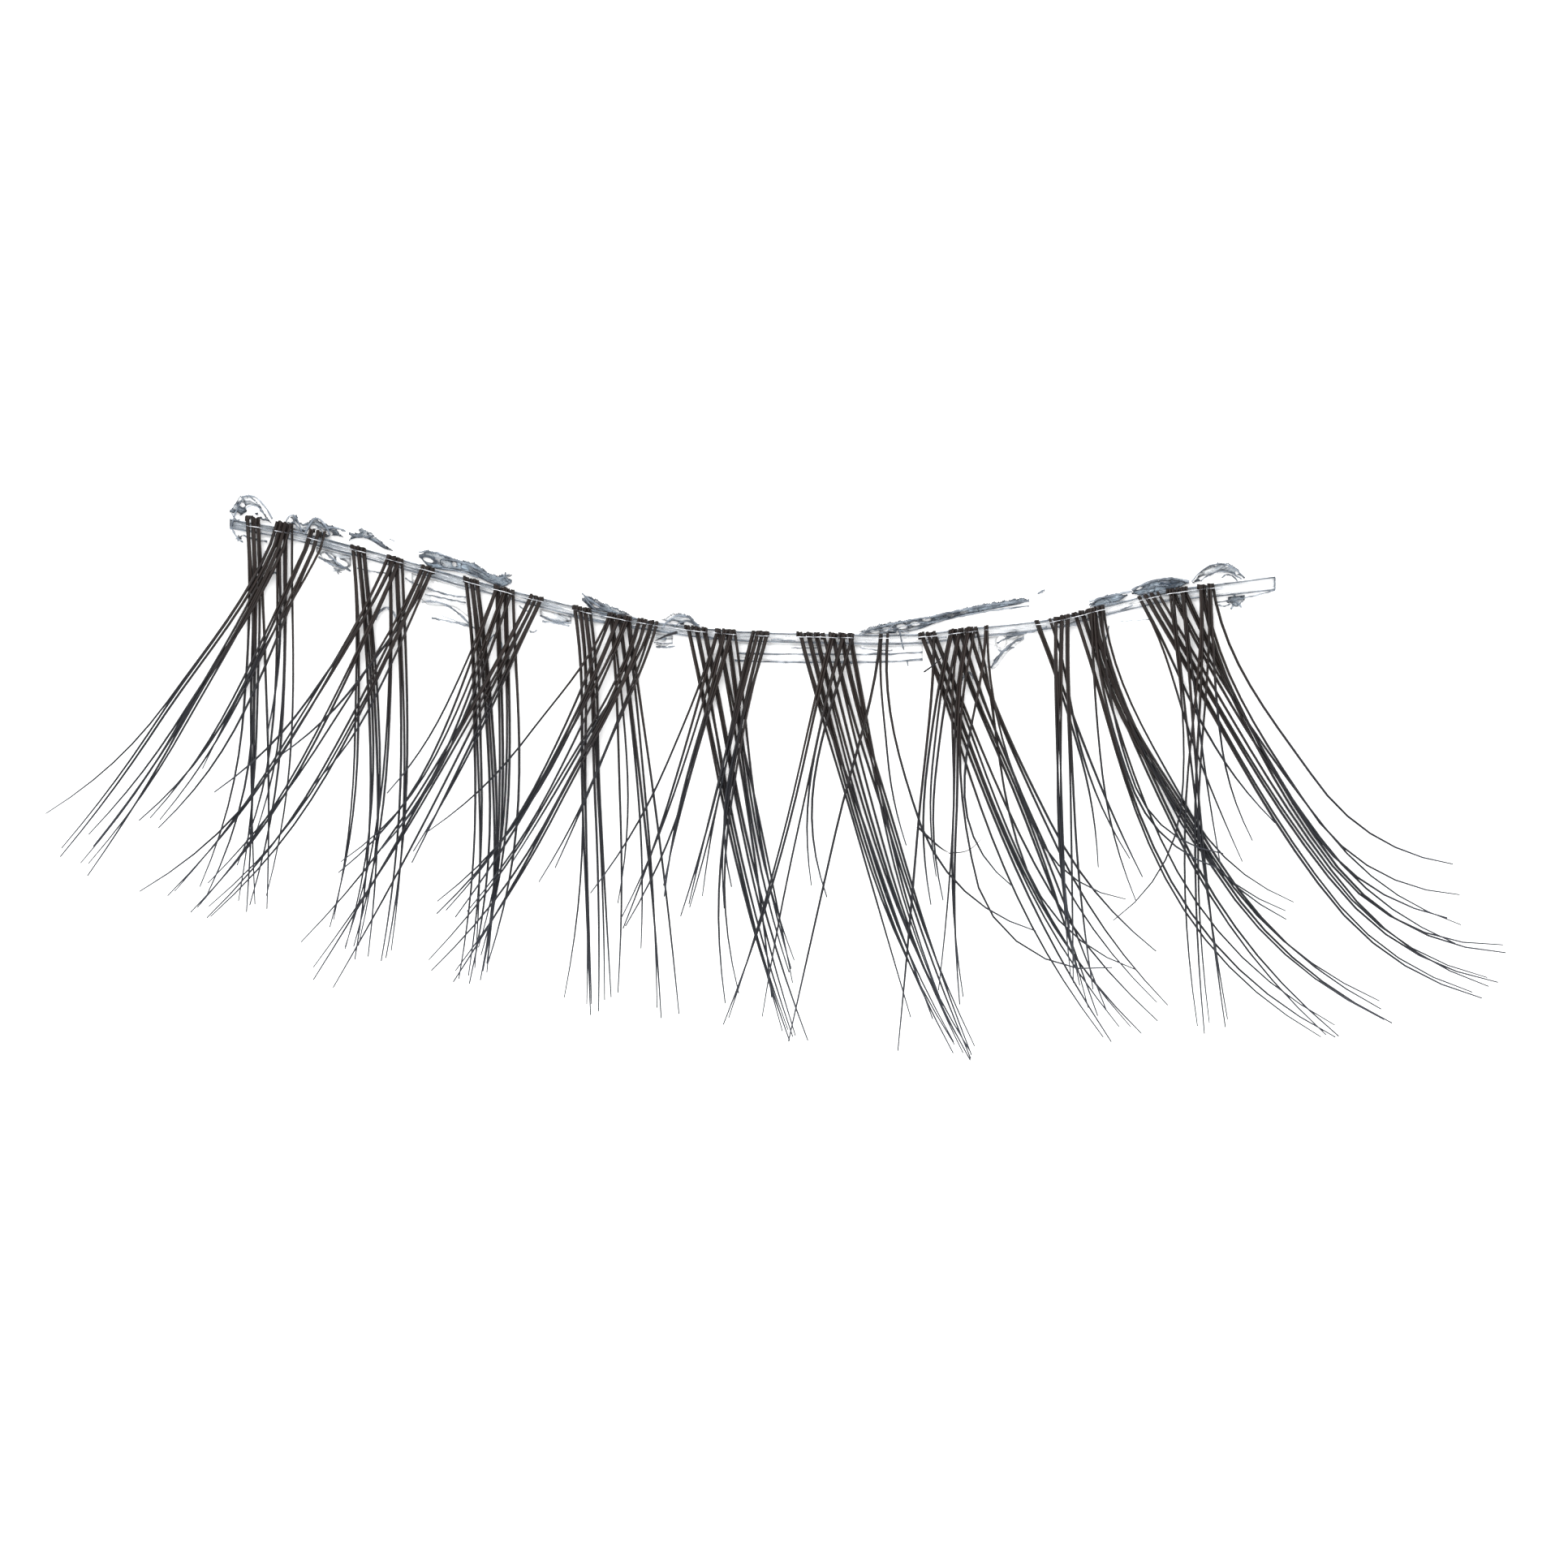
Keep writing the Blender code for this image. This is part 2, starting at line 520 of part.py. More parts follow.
def add_cluster(cluster, material, parent):
    """One cluster: the run of thread, fused with its heads and its locks."""
    name = f"lash_cluster_{cluster}"
    tufts = {row[0]: Tuft(*row) for row in TUFTS[cluster]}
    shapes = bpy.data.collections.new(f"{name}_shapes")
    bpy.context.scene.collection.children.link(shapes)
    for mesh in cluster_meshes(name, cluster, tufts):
        shape = bpy.data.objects.new(mesh.name, mesh)
        shape.parent = parent
        shape.hide_render = True
        shape.display_type = "WIRE"
        shapes.objects.link(shape)
    places = [tuft.along for tuft in tufts.values()]
    thread = thread_mesh(name, min(places), max(places))
    obj = make_object(name, thread, material, parent)
    fuse = obj.modifiers.new("fuse heads and locks", "BOOLEAN")
    fuse.operation = "UNION"
    fuse.operand_type = "COLLECTION"
    fuse.collection = shapes
    fuse.solver = "EXACT"
    weld = obj.modifiers.new("close hairline edges", "WELD")
    weld.merge_threshold = HAIRLINE


def plate_places(first, last, count):
    """Places along the band for a row of count values: the values' own places, and a finer set for the plate."""
    steps = np.linspace(first, last, count)
    return steps, np.linspace(first, last, STATIONS_PER_STEP * (count - 1) + 1)


def plate_mesh(name, x, low, high, bottom, top):
    """A flat plate seen from above between a low and a high edge, from bottom to top."""
    rings = np.stack(
        [
            np.column_stack([x, high, bottom]),
            np.column_stack([x, high, top]),
            np.column_stack([x, low, top]),
            np.column_stack([x, low, bottom]),
        ],
        axis=1,
    )
    return loft(name, rings)


def add_band(material, parent):
    along = np.linspace(0.0, 1.0, BAND_STATIONS)
    bottom = np.zeros(BAND_STATIONS)
    top = bottom + BAND_THICKNESS
    mesh = plate_mesh("band", along * BAND_LENGTH, front_edge(along), back_edge(along), bottom, top)
    make_object("band", mesh, material, parent)


def add_flake(number, flake, material, parent):
    """A flake of adhesive standing off the band's back edge, a little warped."""
    steps, along = plate_places(flake.first, flake.last, len(flake.low))
    edge = back_edge(along) + EDGE_GAP
    low_edge = edge + np.clip(smoothed(along, steps, flake.low), 0.0, None) * FLAKE_HEIGHT
    high_edge = edge + smoothed(along, steps, flake.high) * FLAKE_HEIGHT
    turns = np.linspace(0.0, FLAKE_WAVES, len(along))
    bottom = (0.5 + 0.5 * np.sin(2 * np.pi * turns + number)) * FLAKE_THICKNESS
    name = f"adhesive_flake_{number}"
    mesh = plate_mesh(name, along * BAND_LENGTH, low_edge, high_edge, bottom, bottom + FLAKE_THICKNESS)
    make_object(name, mesh, material, parent)


def add_film(number, film, material, parent):
    """A thin film of adhesive in front of the band, under the lashes."""
    steps, along = plate_places(film.first, film.last, len(film.deep))
    edge = front_edge(along) - EDGE_GAP
    far_edge = edge - smoothed(along, steps, film.deep) * FILM_DEPTH
    bottom = np.full(len(along), SEAT_GAP)
    name = f"adhesive_film_{number}"
    mesh = plate_mesh(name, along * BAND_LENGTH, far_edge, edge, bottom, bottom + FILM_THICKNESS)
    make_object(name, mesh, material, parent)


def stand_on_origin(parent):
    """Moves the empty so that the bottom centre of the whole strip is at the world's origin."""
    low = np.full(3, np.inf)
    high = np.full(3, -np.inf)
    for obj in bpy.data.objects:
        if obj.type == "MESH":
            points = np.empty(len(obj.data.vertices) * 3)
            obj.data.vertices.foreach_get("co", points)
            low = np.minimum(low, points.reshape(-1, 3).min(axis=0))
            high = np.maximum(high, points.reshape(-1, 3).max(axis=0))
    middle = (low + high) / 2
    parent.location = (-middle[0], -middle[1], -low[2])


def build():
    clear_scene()
    strip = bpy.data.objects.new("eyelash_strip", None)
    bpy.context.scene.collection.objects.link(strip)
    clear_film = make_material("clear film", (0.80, 0.84, 0.88), 0.15)
    adhesive = make_material("dried adhesive", (0.55, 0.62, 0.68), 0.20)
    lash = make_material("brown-black lash", (0.028, 0.020, 0.018), 0.35)
    add_band(clear_film, strip)
    for cluster in TUFTS:
        add_cluster(cluster, lash, strip)
    for number, row in enumerate(FLAKES, 1):
        add_flake(number, Flake(*row), adhesive, strip)
    for number, row in enumerate(FILMS, 1):
        add_film(number, Film(*row), adhesive, strip)
    stand_on_origin(strip)


build()
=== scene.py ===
"""The look of a false eyelash strip: single fibres, tying thread, clear band and dried adhesive.

Metres, +Z up, in the solids' own frame. The strip's own coordinates start at the left end of the
band, with x along it and y towards its back edge. Every lash fibre is a tapered tube that follows
the path of the solid lock that it belongs to, seen from above one smooth curve, with its height on
the one curled sheet that all the lashes share.
"""

from collections import namedtuple
from itertools import chain, starmap

import bpy
import numpy as np
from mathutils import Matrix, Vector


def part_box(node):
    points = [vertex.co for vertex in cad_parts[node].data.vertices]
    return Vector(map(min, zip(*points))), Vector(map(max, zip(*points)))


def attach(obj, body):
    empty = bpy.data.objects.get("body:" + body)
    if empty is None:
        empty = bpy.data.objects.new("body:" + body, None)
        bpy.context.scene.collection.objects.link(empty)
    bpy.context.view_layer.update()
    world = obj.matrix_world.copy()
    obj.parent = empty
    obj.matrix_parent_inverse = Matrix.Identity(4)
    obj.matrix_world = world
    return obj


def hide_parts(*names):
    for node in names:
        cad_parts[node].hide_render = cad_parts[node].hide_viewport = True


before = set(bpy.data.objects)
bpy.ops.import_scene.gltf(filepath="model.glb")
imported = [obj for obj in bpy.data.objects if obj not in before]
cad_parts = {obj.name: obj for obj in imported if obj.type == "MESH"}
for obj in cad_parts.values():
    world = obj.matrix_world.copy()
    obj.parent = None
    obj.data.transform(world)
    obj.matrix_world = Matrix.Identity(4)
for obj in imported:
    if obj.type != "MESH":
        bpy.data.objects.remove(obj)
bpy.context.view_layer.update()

# Band
BAND_LENGTH = 0.0310
BAND_RISE = 0.0034
BAND_WIDTH = 0.00040
BAND_THICKNESS = 0.00015
BAND_STATIONS = 41
BAND_LOOK_STATIONS = 600
WORN_DEPTH = 0.000006

# Lashes
LASH_LENGTH = 0.0120
FLAT_LENGTH = 0.0048
CURL_RADIUS = 0.0088
EASE_START = 0.55
EASE_END = 1.0
OUTER_END_CURL = 0.35
LOCK_THICKNESS = 0.00010
TUFT_WIDTH = 0.00055
HANDLE_SHARE = 0.36
STEEPNESS = 0.75

# Single fibres. The spacings are how far they lie apart in a lock halfway and at the tips, as
# shares of FIBRE_WIDTH. A lock's tips lie TIGHTEST to TIGHTEST + LOOSENESS times that far apart. In
# the heads, ROOT_PAIRING draws a ribbon's fibres together by twos and ROOT_SCATTER shifts each, as
# shares of their even spacing.
FIBRE_WIDTH = 0.000083
FIBRE_SIDES = 4
FIBRE_STATIONS = 16
STATION_POWER = 1.15
EARLY_THINNING = 0.15
LATE_THINNING = 0.42
MIDDLE_SPACING = 1.7
TIP_SPACING = 3.4
MIDDLE_SWAY = 2.4
TIP_SWAY = 4.0
TIP_CROSSING = 0.6
TIP_SCATTER = 0.045
ROOT_PAIRING = 0.58
ROOT_SCATTER = 0.22
TIGHTEST = 0.35
LOOSENESS = 1.1
TIP_SETBACK = 0.6
THINNEST = 0.88
UNEVENNESS = 0.24
THINNING_SPAN = (0.05, 0.40)
STRAY_THINNING = 0.8
STRAY_TONE = 0.4
STRAY_REACH = 0.5

# Steps whose multiples fall scattered between whole numbers, one for each thing that varies by
# itself
GOLDEN_STEP = 0.618034
LOOSE_STEP = 0.7071
LENGTH_STEP = 0.4142
SWAY_STEP = 0.7549
ROOT_STEP = 0.3247
HEIGHT_STEP = 0.29
TONE_STEP = 0.5545
SEED_STRIDE = 40

# Ripples of a worn or torn edge. The tears are rows of size, pace and seed step.
RIPPLE_WAVES = 5
RIPPLE_PACE = 1.83
RIPPLE_FADE = 1.5
RIPPLE_SCALE = 1.6
SEED_SHIFT = 0.37
WAVE_SHIFT = 0.618
FLAKE_TEARS = ((0.05, 110, 0.31), (0.03, 500, 0.17))
FILM_TEARS = ((0.03, 100, 0.41), (0.02, 420, 0.13))

# Heads of the tufts, and the clearances of the solids
HEAD_OVERHANG = 0.00006
HEAD_COVER = 0.00002
SEAT_GAP = 0.00003
LAYER_GAP = 0.00005
EDGE_GAP = 0.00004
DIP_LENGTH = 0.0014
STUB_LENGTH = 0.00018
STUB_SPACING = 0.000092
STUB_UNEVENNESS = 0.9
STUB_TONE = 0.2

# Tying threads: how far each lies in front of the band's back edge, and whether it climbs over
# tufts
THREADS = ((0.00010, 1.0), (0.00021, 0.0))
THREAD_WIDTH = 0.000017
THREAD_SIDES = 6
THREAD_STATIONS = 700
THREAD_SPAN = (0.008, 0.950)
THREAD_SLOPE = 0.006
THREAD_SWAY = 0.00001

# Dried adhesive
FLAKE_HEIGHT = 0.0008
FLAKE_THICKNESS = 0.00008
FLAKE_WAVES = 1.25
FILM_DEPTH = 0.0012
FILM_THICKNESS = 0.00006
LEAST_FLAKE = 0.04
LEAST_FILM = 0.05
PLATE_SIDES = 32
PLATE_STATIONS = 40
PLATE_CROWDING = 0.8
PLATE_BULGE = 0.35
STRAND_WIDTH = 0.000060
STRAND_SIDES = 5
STRAND_STATIONS = 24
STRAND_WANDER = 0.012
STRAND_STEP = (0.26, 0.36)
CHIP_THICKNESS = 0.00007
CHIP_POINTS = 5
CHIP_SIDES = 28
CHIP_RINGS = 5
CHIP_LOOK = 0.8
# Width of the rim, where clear sheets and their holes get their painted refraction shade
RIM_WIDTH = 0.00008
FLAKE_TAPER = 0.00030

# The photograph's frame: its width on the ground, and its middle in the strip's coordinates
FRAME_WIDTH = 0.0465
FRAME_MIDDLE = (0.01644, -0.00445)
CAMERA_HEIGHT = 1.0
SENSOR_WIDTH = 36.0

# Ground and light
FLOOR_HALF = 0.6
FLOOR_LEVEL = -0.00001
SURROUND_STRENGTH = 1.70
LIGHT_PLACE = (-0.15, 0.20, 0.45)
LIGHT_SIZE = 0.35
LIGHT_POWER = 2.0

# Colours
LASH_DARK = (0.0072, 0.0054, 0.0051)
LASH_WARM = (0.0153, 0.0104, 0.0089)
# Painted sheen: the lighter brown of streaks along the fibres, standing in for light caught on them
LASH_SHEEN = (0.022, 0.0155, 0.013)
LASH_COOL = (0.0092, 0.0102, 0.0136)
LASH_TIP = (0.047, 0.052, 0.064)
FILM_PALE = (0.34, 0.39, 0.44)
# Grey of the film's cloudy streaks and lines, and of its edges, where it is painted refraction
# shade
FILM_GREY_AND_EDGE_SHADE = (0.045, 0.055, 0.070)
ADHESIVE_PALE = (0.21, 0.26, 0.31)
ADHESIVE_GREY = (0.042, 0.056, 0.078)
# Dark of the adhesive's veins and creases, and of its rims, where it is painted refraction shade
ADHESIVE_LINE_AND_EDGE_SHADE = (0.020, 0.026, 0.036)
STRAND_GREY = (0.050, 0.062, 0.080)
STRAND_PALE = (0.22, 0.26, 0.31)
THREAD_GREY = (0.35, 0.37, 0.42)
# Painted glints on the thread
THREAD_GLINT = (0.80, 0.82, 0.86)
WHITE = (0.96, 0.96, 0.96)
BARELY_SEEN = 0.01

# The stretch of the adhesive's patterns, along the band and across it
CRUMPLE = (0.6, 1.4, 1.0)

LAYER_STEP = LOCK_THICKNESS + LAYER_GAP
HEAD_BOTTOM = BAND_THICKNESS + SEAT_GAP
HEAD_LEVEL = HEAD_BOTTOM + HEAD_COVER + LOCK_THICKNESS / 2
SHORTEST = 1e-9

# The back edge of the band, seen from above. along is a share of BAND_LENGTH, rise of BAND_RISE,
# width of BAND_WIDTH.
BandRow = namedtuple("BandRow", "along rise width")
BAND_ROWS = (
    (0.00, 1.00, 0.70),
    (0.06, 0.90, 0.70),
    (0.12, 0.76, 0.65),
    (0.24, 0.45, 0.65),
    (0.36, 0.18, 0.70),
    (0.45, 0.05, 0.70),
    (0.57, 0.00, 0.70),
    (0.66, 0.00, 0.70),
    (0.72, 0.06, 0.70),
    (0.78, 0.12, 0.70),
    (0.84, 0.25, 0.70),
    (0.90, 0.38, 0.80),
    (0.95, 0.44, 0.95),
    (1.00, 0.50, 1.00),
)

# The tufts of each cluster: where its middle is along the band, as a share of BAND_LENGTH, and its
# share of TUFT_WIDTH.
Tuft = namedtuple("Tuft", "name along width")
TUFTS = {
    1: (("a", 0.022, 0.85), ("b", 0.052, 0.95), ("c", 0.084, 0.95)),
    2: (("a", 0.123, 0.90), ("b", 0.158, 0.90), ("c", 0.190, 0.75)),
    3: (("a", 0.231, 0.90), ("b", 0.262, 1.10), ("c", 0.294, 0.80)),
    4: (("a", 0.336, 1.00), ("b", 0.373, 1.35), ("c", 0.400, 1.15)),
    5: (("a", 0.446, 1.30), ("b", 0.474, 1.15), ("c", 0.508, 1.00)),
    6: (("a", 0.555, 1.50), ("b", 0.585, 1.40), ("c", 0.625, 0.60)),
    7: (("a", 0.667, 1.00), ("b", 0.701, 1.55), ("c", 0.724, 0.70)),
    8: (("a", 0.775, 1.20), ("b", 0.796, 0.95), ("c", 0.813, 0.90), ("d", 0.828, 0.90)),
    9: (("a", 0.877, 1.20), ("b", 0.906, 1.20), ("c", 0.933, 0.90)),
}

# The ribbons of each cluster. A tuft's fibres leave it in one or two flat ribbons. level says
# whether a ribbon passes over or under those that it crosses, and lean how far it leans to the
# right of straight down, in degrees. locks are the ribbon's locks, side by side from left to right.
# Seen from above a lock sets off with its ribbon's lean and bends smoothly to its tip, through its
# middle point. Both points are placed from the middle of the tuft, across to the right and down, in
# percent of LASH_LENGTH. fibres is how many lie side by side in the lock.
Ribbon = namedtuple("Ribbon", "tuft level lean locks")
Lock = namedtuple("Lock", "middle_across middle_drop tip_across tip_drop fibres")
RIBBONS = {
    1: (
        ("a", "under", 4, (
            (-1, 45, -12, 90, 2), (1, 47, -1, 95, 4),
        )),
        ("b", "over", -21, (
            (-28, 41, -59, 70, 1), (-31, 48, -54, 80, 2), (-26, 49, -50, 84, 3),
            (-24, 46, -46, 77, 2),
        )),
        ("b", "under", -1, (
            (-3, 46, -12, 83, 1), (-1, 26, -5, 50, 1), (0, 42, -7, 77, 1),
            (1, 47, -6, 93, 2),
        )),
        ("c", "over", -25, (
            (-20, 42, -40, 71, 4), (-14, 29, -29, 57, 1),
        )),
    ),
    2: (
        ("a", "under", 6, (
            (0, 46, -5, 94, 2), (4, 45, -1, 100, 4),
        )),
        ("b", "over", -24, (
            (-29, 49, -63, 82, 1), (-27, 46, -56, 84, 2), (-20, 34, -43, 59, 1),
            (-21, 46, -50, 87, 2),
        )),
        ("b", "under", 2, (
            (-2, 44, -12, 96, 1), (-1, 44, -9, 96, 1), (2, 43, -2, 98, 3),
        )),
        ("c", "over", -24, (
            (-26, 43, -54, 78, 1), (-24, 47, -55, 86, 3), (-16, 27, -36, 47, 1),
            (-14, 32, -29, 53, 1),
        )),
    ),
    3: (
        ("a", "under", 8, (
            (2, 46, 0, 98, 3), (5, 46, 3, 98, 3),
        )),
        ("b", "over", -21, (
            (-13, 28, -28, 51, 1), (-17, 40, -41, 70, 2), (-12, 37, -30, 65, 2),
        )),
        ("b", "under", 1, (
            (-1, 46, -6, 94, 2), (2, 46, -5, 91, 3),
        )),
        ("c", "over", -27, (
            (-28, 46, -58, 85, 1), (-26, 48, -54, 94, 3), (-14, 32, -30, 64, 2),
        )),
    ),
    4: (
        ("a", "under", 9, (
            (0, 45, -5, 96, 1), (1, 50, 3, 100, 2), (3, 47, 4, 98, 3),
            (5, 47, 8, 96, 1),
        )),
        ("b", "over", -22, (
            (-22, 30, -46, 54, 1), (-17, 36, -44, 72, 3), (-16, 38, -39, 74, 2),
        )),
        ("b", "under", 7, (
            (0, 47, -1, 93, 1), (2, 35, 0, 71, 1), (5, 41, 7, 82, 1),
            (6, 49, 9, 98, 2), (9, 47, 16, 98, 1),
        )),
        ("c", "over", -16, (
            (-24, 45, -54, 86, 2), (-22, 45, -48, 87, 2), (-15, 30, -32, 60, 1),
            (-12, 34, -28, 64, 1), (-11, 33, -23, 61, 1),
        )),
    ),
    5: (
        ("a", "under", 13, (
            (9, 52, 22, 101, 3), (11, 52, 25, 101, 3),
        )),
        ("b", "over", -16, (
            (-14, 32, -33, 65, 1), (-11, 38, -25, 73, 3), (-8, 33, -15, 64, 2),
        )),
        ("b", "under", 9, (
            (7, 45, 15, 89, 2), (7, 43, 17, 84, 3),
        )),
        ("c", "over", -16, (
            (-10, 36, -19, 69, 2), (-9, 35, -16, 67, 2), (-8, 36, -10, 68, 1),
            (-8, 45, -7, 90, 2), (-7, 35, -6, 63, 1),
        )),
    ),
    6: (
        ("a", "under", 14, (
            (13, 50, 27, 95, 2), (14, 52, 36, 103, 3), (16, 52, 39, 104, 2),
        )),
        ("b", "over", -16, (
            (-13, 47, -28, 96, 2), (-11, 46, -21, 94, 1), (-7, 30, -8, 62, 1),
            (-6, 32, -3, 65, 1),
        )),
        ("b", "under", 11, (
            (13, 53, 31, 104, 4), (12, 48, 26, 92, 2),
        )),
        ("c", "over", -5, (
            (-12, 48, -24, 100, 1), (1, 29, 6, 52, 1), (9, 45, 38, 73, 1),
        )),
    ),
    7: (
        ("a", "over", 0, (
            (-2, 48, -6, 103, 1),
        )),
        ("a", "under", 23, (
            (19, 53, 45, 100, 3), (23, 54, 54, 98, 3),
        )),
        ("b", "over", -14, (
            (-9, 34, -8, 68, 1), (-7, 31, -7, 61, 1), (-6, 35, -4, 67, 1),
            (-3, 47, -7, 89, 1), (-2, 47, -1, 91, 2), (4, 62, 38, 83, 1),
        )),
        ("b", "under", 16, (
            (16, 47, 32, 95, 3), (21, 52, 50, 94, 2), (21, 47, 47, 80, 1),
            (15, 57, 43, 84, 1),
        )),
        ("c", "over", 0, (
            (-5, 41, 8, 64, 1), (11, 50, 33, 68, 1),
        )),
    ),
    8: (
        ("a", "under", 22, (
            (9, 30, 14, 61, 1), (13, 35, 26, 63, 1), (11, 32, 24, 58, 1),
        )),
        ("b", "over", -1, (
            (-1, 38, 1, 76, 2), (1, 45, 4, 91, 4),
        )),
        ("c", "under", 20, (
            (19, 58, 62, 105, 3), (25, 56, 62, 104, 2),
        )),
        ("d", "over", 2, (
            (2, 38, 11, 72, 1), (9, 44, 31, 63, 2),
        )),
        ("d", "under", 7, (
            (28, 61, 72, 101, 2), (28, 60, 70, 98, 2), (21, 50, 48, 76, 3),
        )),
    ),
    9: (
        ("a", "under", 32, (
            (12, 39, 23, 66, 1), (15, 34, 32, 56, 1), (45, 73, 82, 98, 2),
            (47, 71, 85, 96, 3),
        )),
        ("b", "over", 6, (
            (2, 52, -15, 82, 1), (5, 55, 12, 107, 2), (6, 35, 11, 68, 1),
        )),
        ("b", "under", 26, (
            (36, 60, 70, 86, 2), (38, 67, 81, 88, 2),
        )),
        ("c", "over", 3, (
            (-3, 56, -1, 110, 3), (4, 37, 12, 63, 1),
        )),
        ("c", "under", 9, (
            (25, 56, 61, 79, 2), (27, 48, 61, 69, 1),
        )),
    ),
}

# Flakes of dried adhesive behind the band. first and last are shares of BAND_LENGTH. low and high
# are the lower and upper edge at even steps from first to last, as shares of FLAKE_HEIGHT above the
# band's back edge.
Flake = namedtuple("Flake", "first last low high")
FLAKES = (
    (0.000, 0.040, (0.00, 0.15, 0.40, 0.15, 0.00), (0.45, 0.85, 0.95, 0.60, 0.15)),
    (0.052, 0.109, (0.00, 0.00, 0.00, 0.25, 0.00, 0.15, 0.10),
     (0.12, 0.60, 0.30, 0.62, 0.50, 0.50, 0.25)),
    (0.114, 0.156, (0.00, 0.36, 0.34, 0.20, 0.10), (0.25, 0.66, 0.62, 0.40, 0.28)),
    (0.181, 0.270, (0.00, 0.00, 0.10, 0.12, 0.00, 0.00), (0.58, 0.60, 0.55, 0.60, 0.36, 0.60)),
    (0.337, 0.385, (0.00, 0.00, 0.00, 0.00), (0.60, 0.36, 0.22, 0.10)),
    (0.413, 0.450, (0.00, 0.00, 0.00, 0.00), (0.12, 0.38, 0.40, 0.10)),
    (0.602, 0.765, (0.00, 0.00, 0.10, 0.38, 0.50, 0.60, 0.70),
     (0.12, 0.40, 0.52, 0.62, 0.76, 0.84, 0.92)),
    (0.822, 0.859, (0.00, 0.00, 0.00), (0.28, 0.32, 0.26)),
    (0.863, 0.917, (0.00, 0.00, 0.00, 0.00), (0.32, 0.44, 0.36, 0.28)),
    (0.921, 0.971, (0.00, 0.20, 0.40, 0.30, 0.00), (0.22, 0.60, 0.72, 0.60, 0.16)),
)

# Films of dried adhesive in front of the band. deep is how far the film reaches from the band's
# front edge, at even steps from first to last, as a share of FILM_DEPTH.
Film = namedtuple("Film", "first last deep")
FILMS = (
    (0.083, 0.116, (0.12, 0.30, 0.45, 0.25)),
    (0.174, 0.229, (0.35, 0.66, 0.62, 0.55, 0.70)),
    (0.297, 0.327, (0.15, 0.28, 0.12)),
    (0.400, 0.424, (0.12, 0.32, 0.20)),
    (0.485, 0.663, (0.38, 0.42, 0.40, 0.42, 0.40, 0.42, 0.36)),
    (0.716, 0.760, (0.55, 0.80, 0.40, 0.15)),
    (0.955, 0.971, (0.10, 0.26, 0.12)),
)

# How cloudy the band is, from 0 for clear to 1, at places along it
CLOUD_ROWS = (
    (0.00, 0.80), (0.28, 0.65), (0.36, 0.70), (0.44, 0.40),
    (0.55, 0.15), (0.70, 0.12), (0.78, 0.25), (0.88, 0.45),
    (0.94, 0.40), (0.97, 0.10), (1.00, 0.06),
)

# How cloudy each flake is at its left and right ends, and how cloudy each film is
FLAKE_CLOUD = (
    (0.85, 0.60), (0.65, 1.00), (0.95, 0.85), (1.00, 1.25), (1.20, 0.80),
    (0.50, 0.60), (0.40, 1.45), (1.30, 1.10), (1.35, 1.55), (0.45, 0.55),
)
FILM_CLOUD = (0.40, 0.12, 0.32, 0.20, 0.03, 0.10, 0.50)

# How far the heads of a cluster's tufts stand out behind the band, as a share of HEAD_OVERHANG,
# where it isn't plain
HEAD_RISE = {1: 3.2}
PLAIN_RISE = 0.7

# Tufts whose few fibres leave their heads bare, by cluster
BARE_HEADS = ((6, "c"), (7, "c"), (8, "a"), (9, "a"))

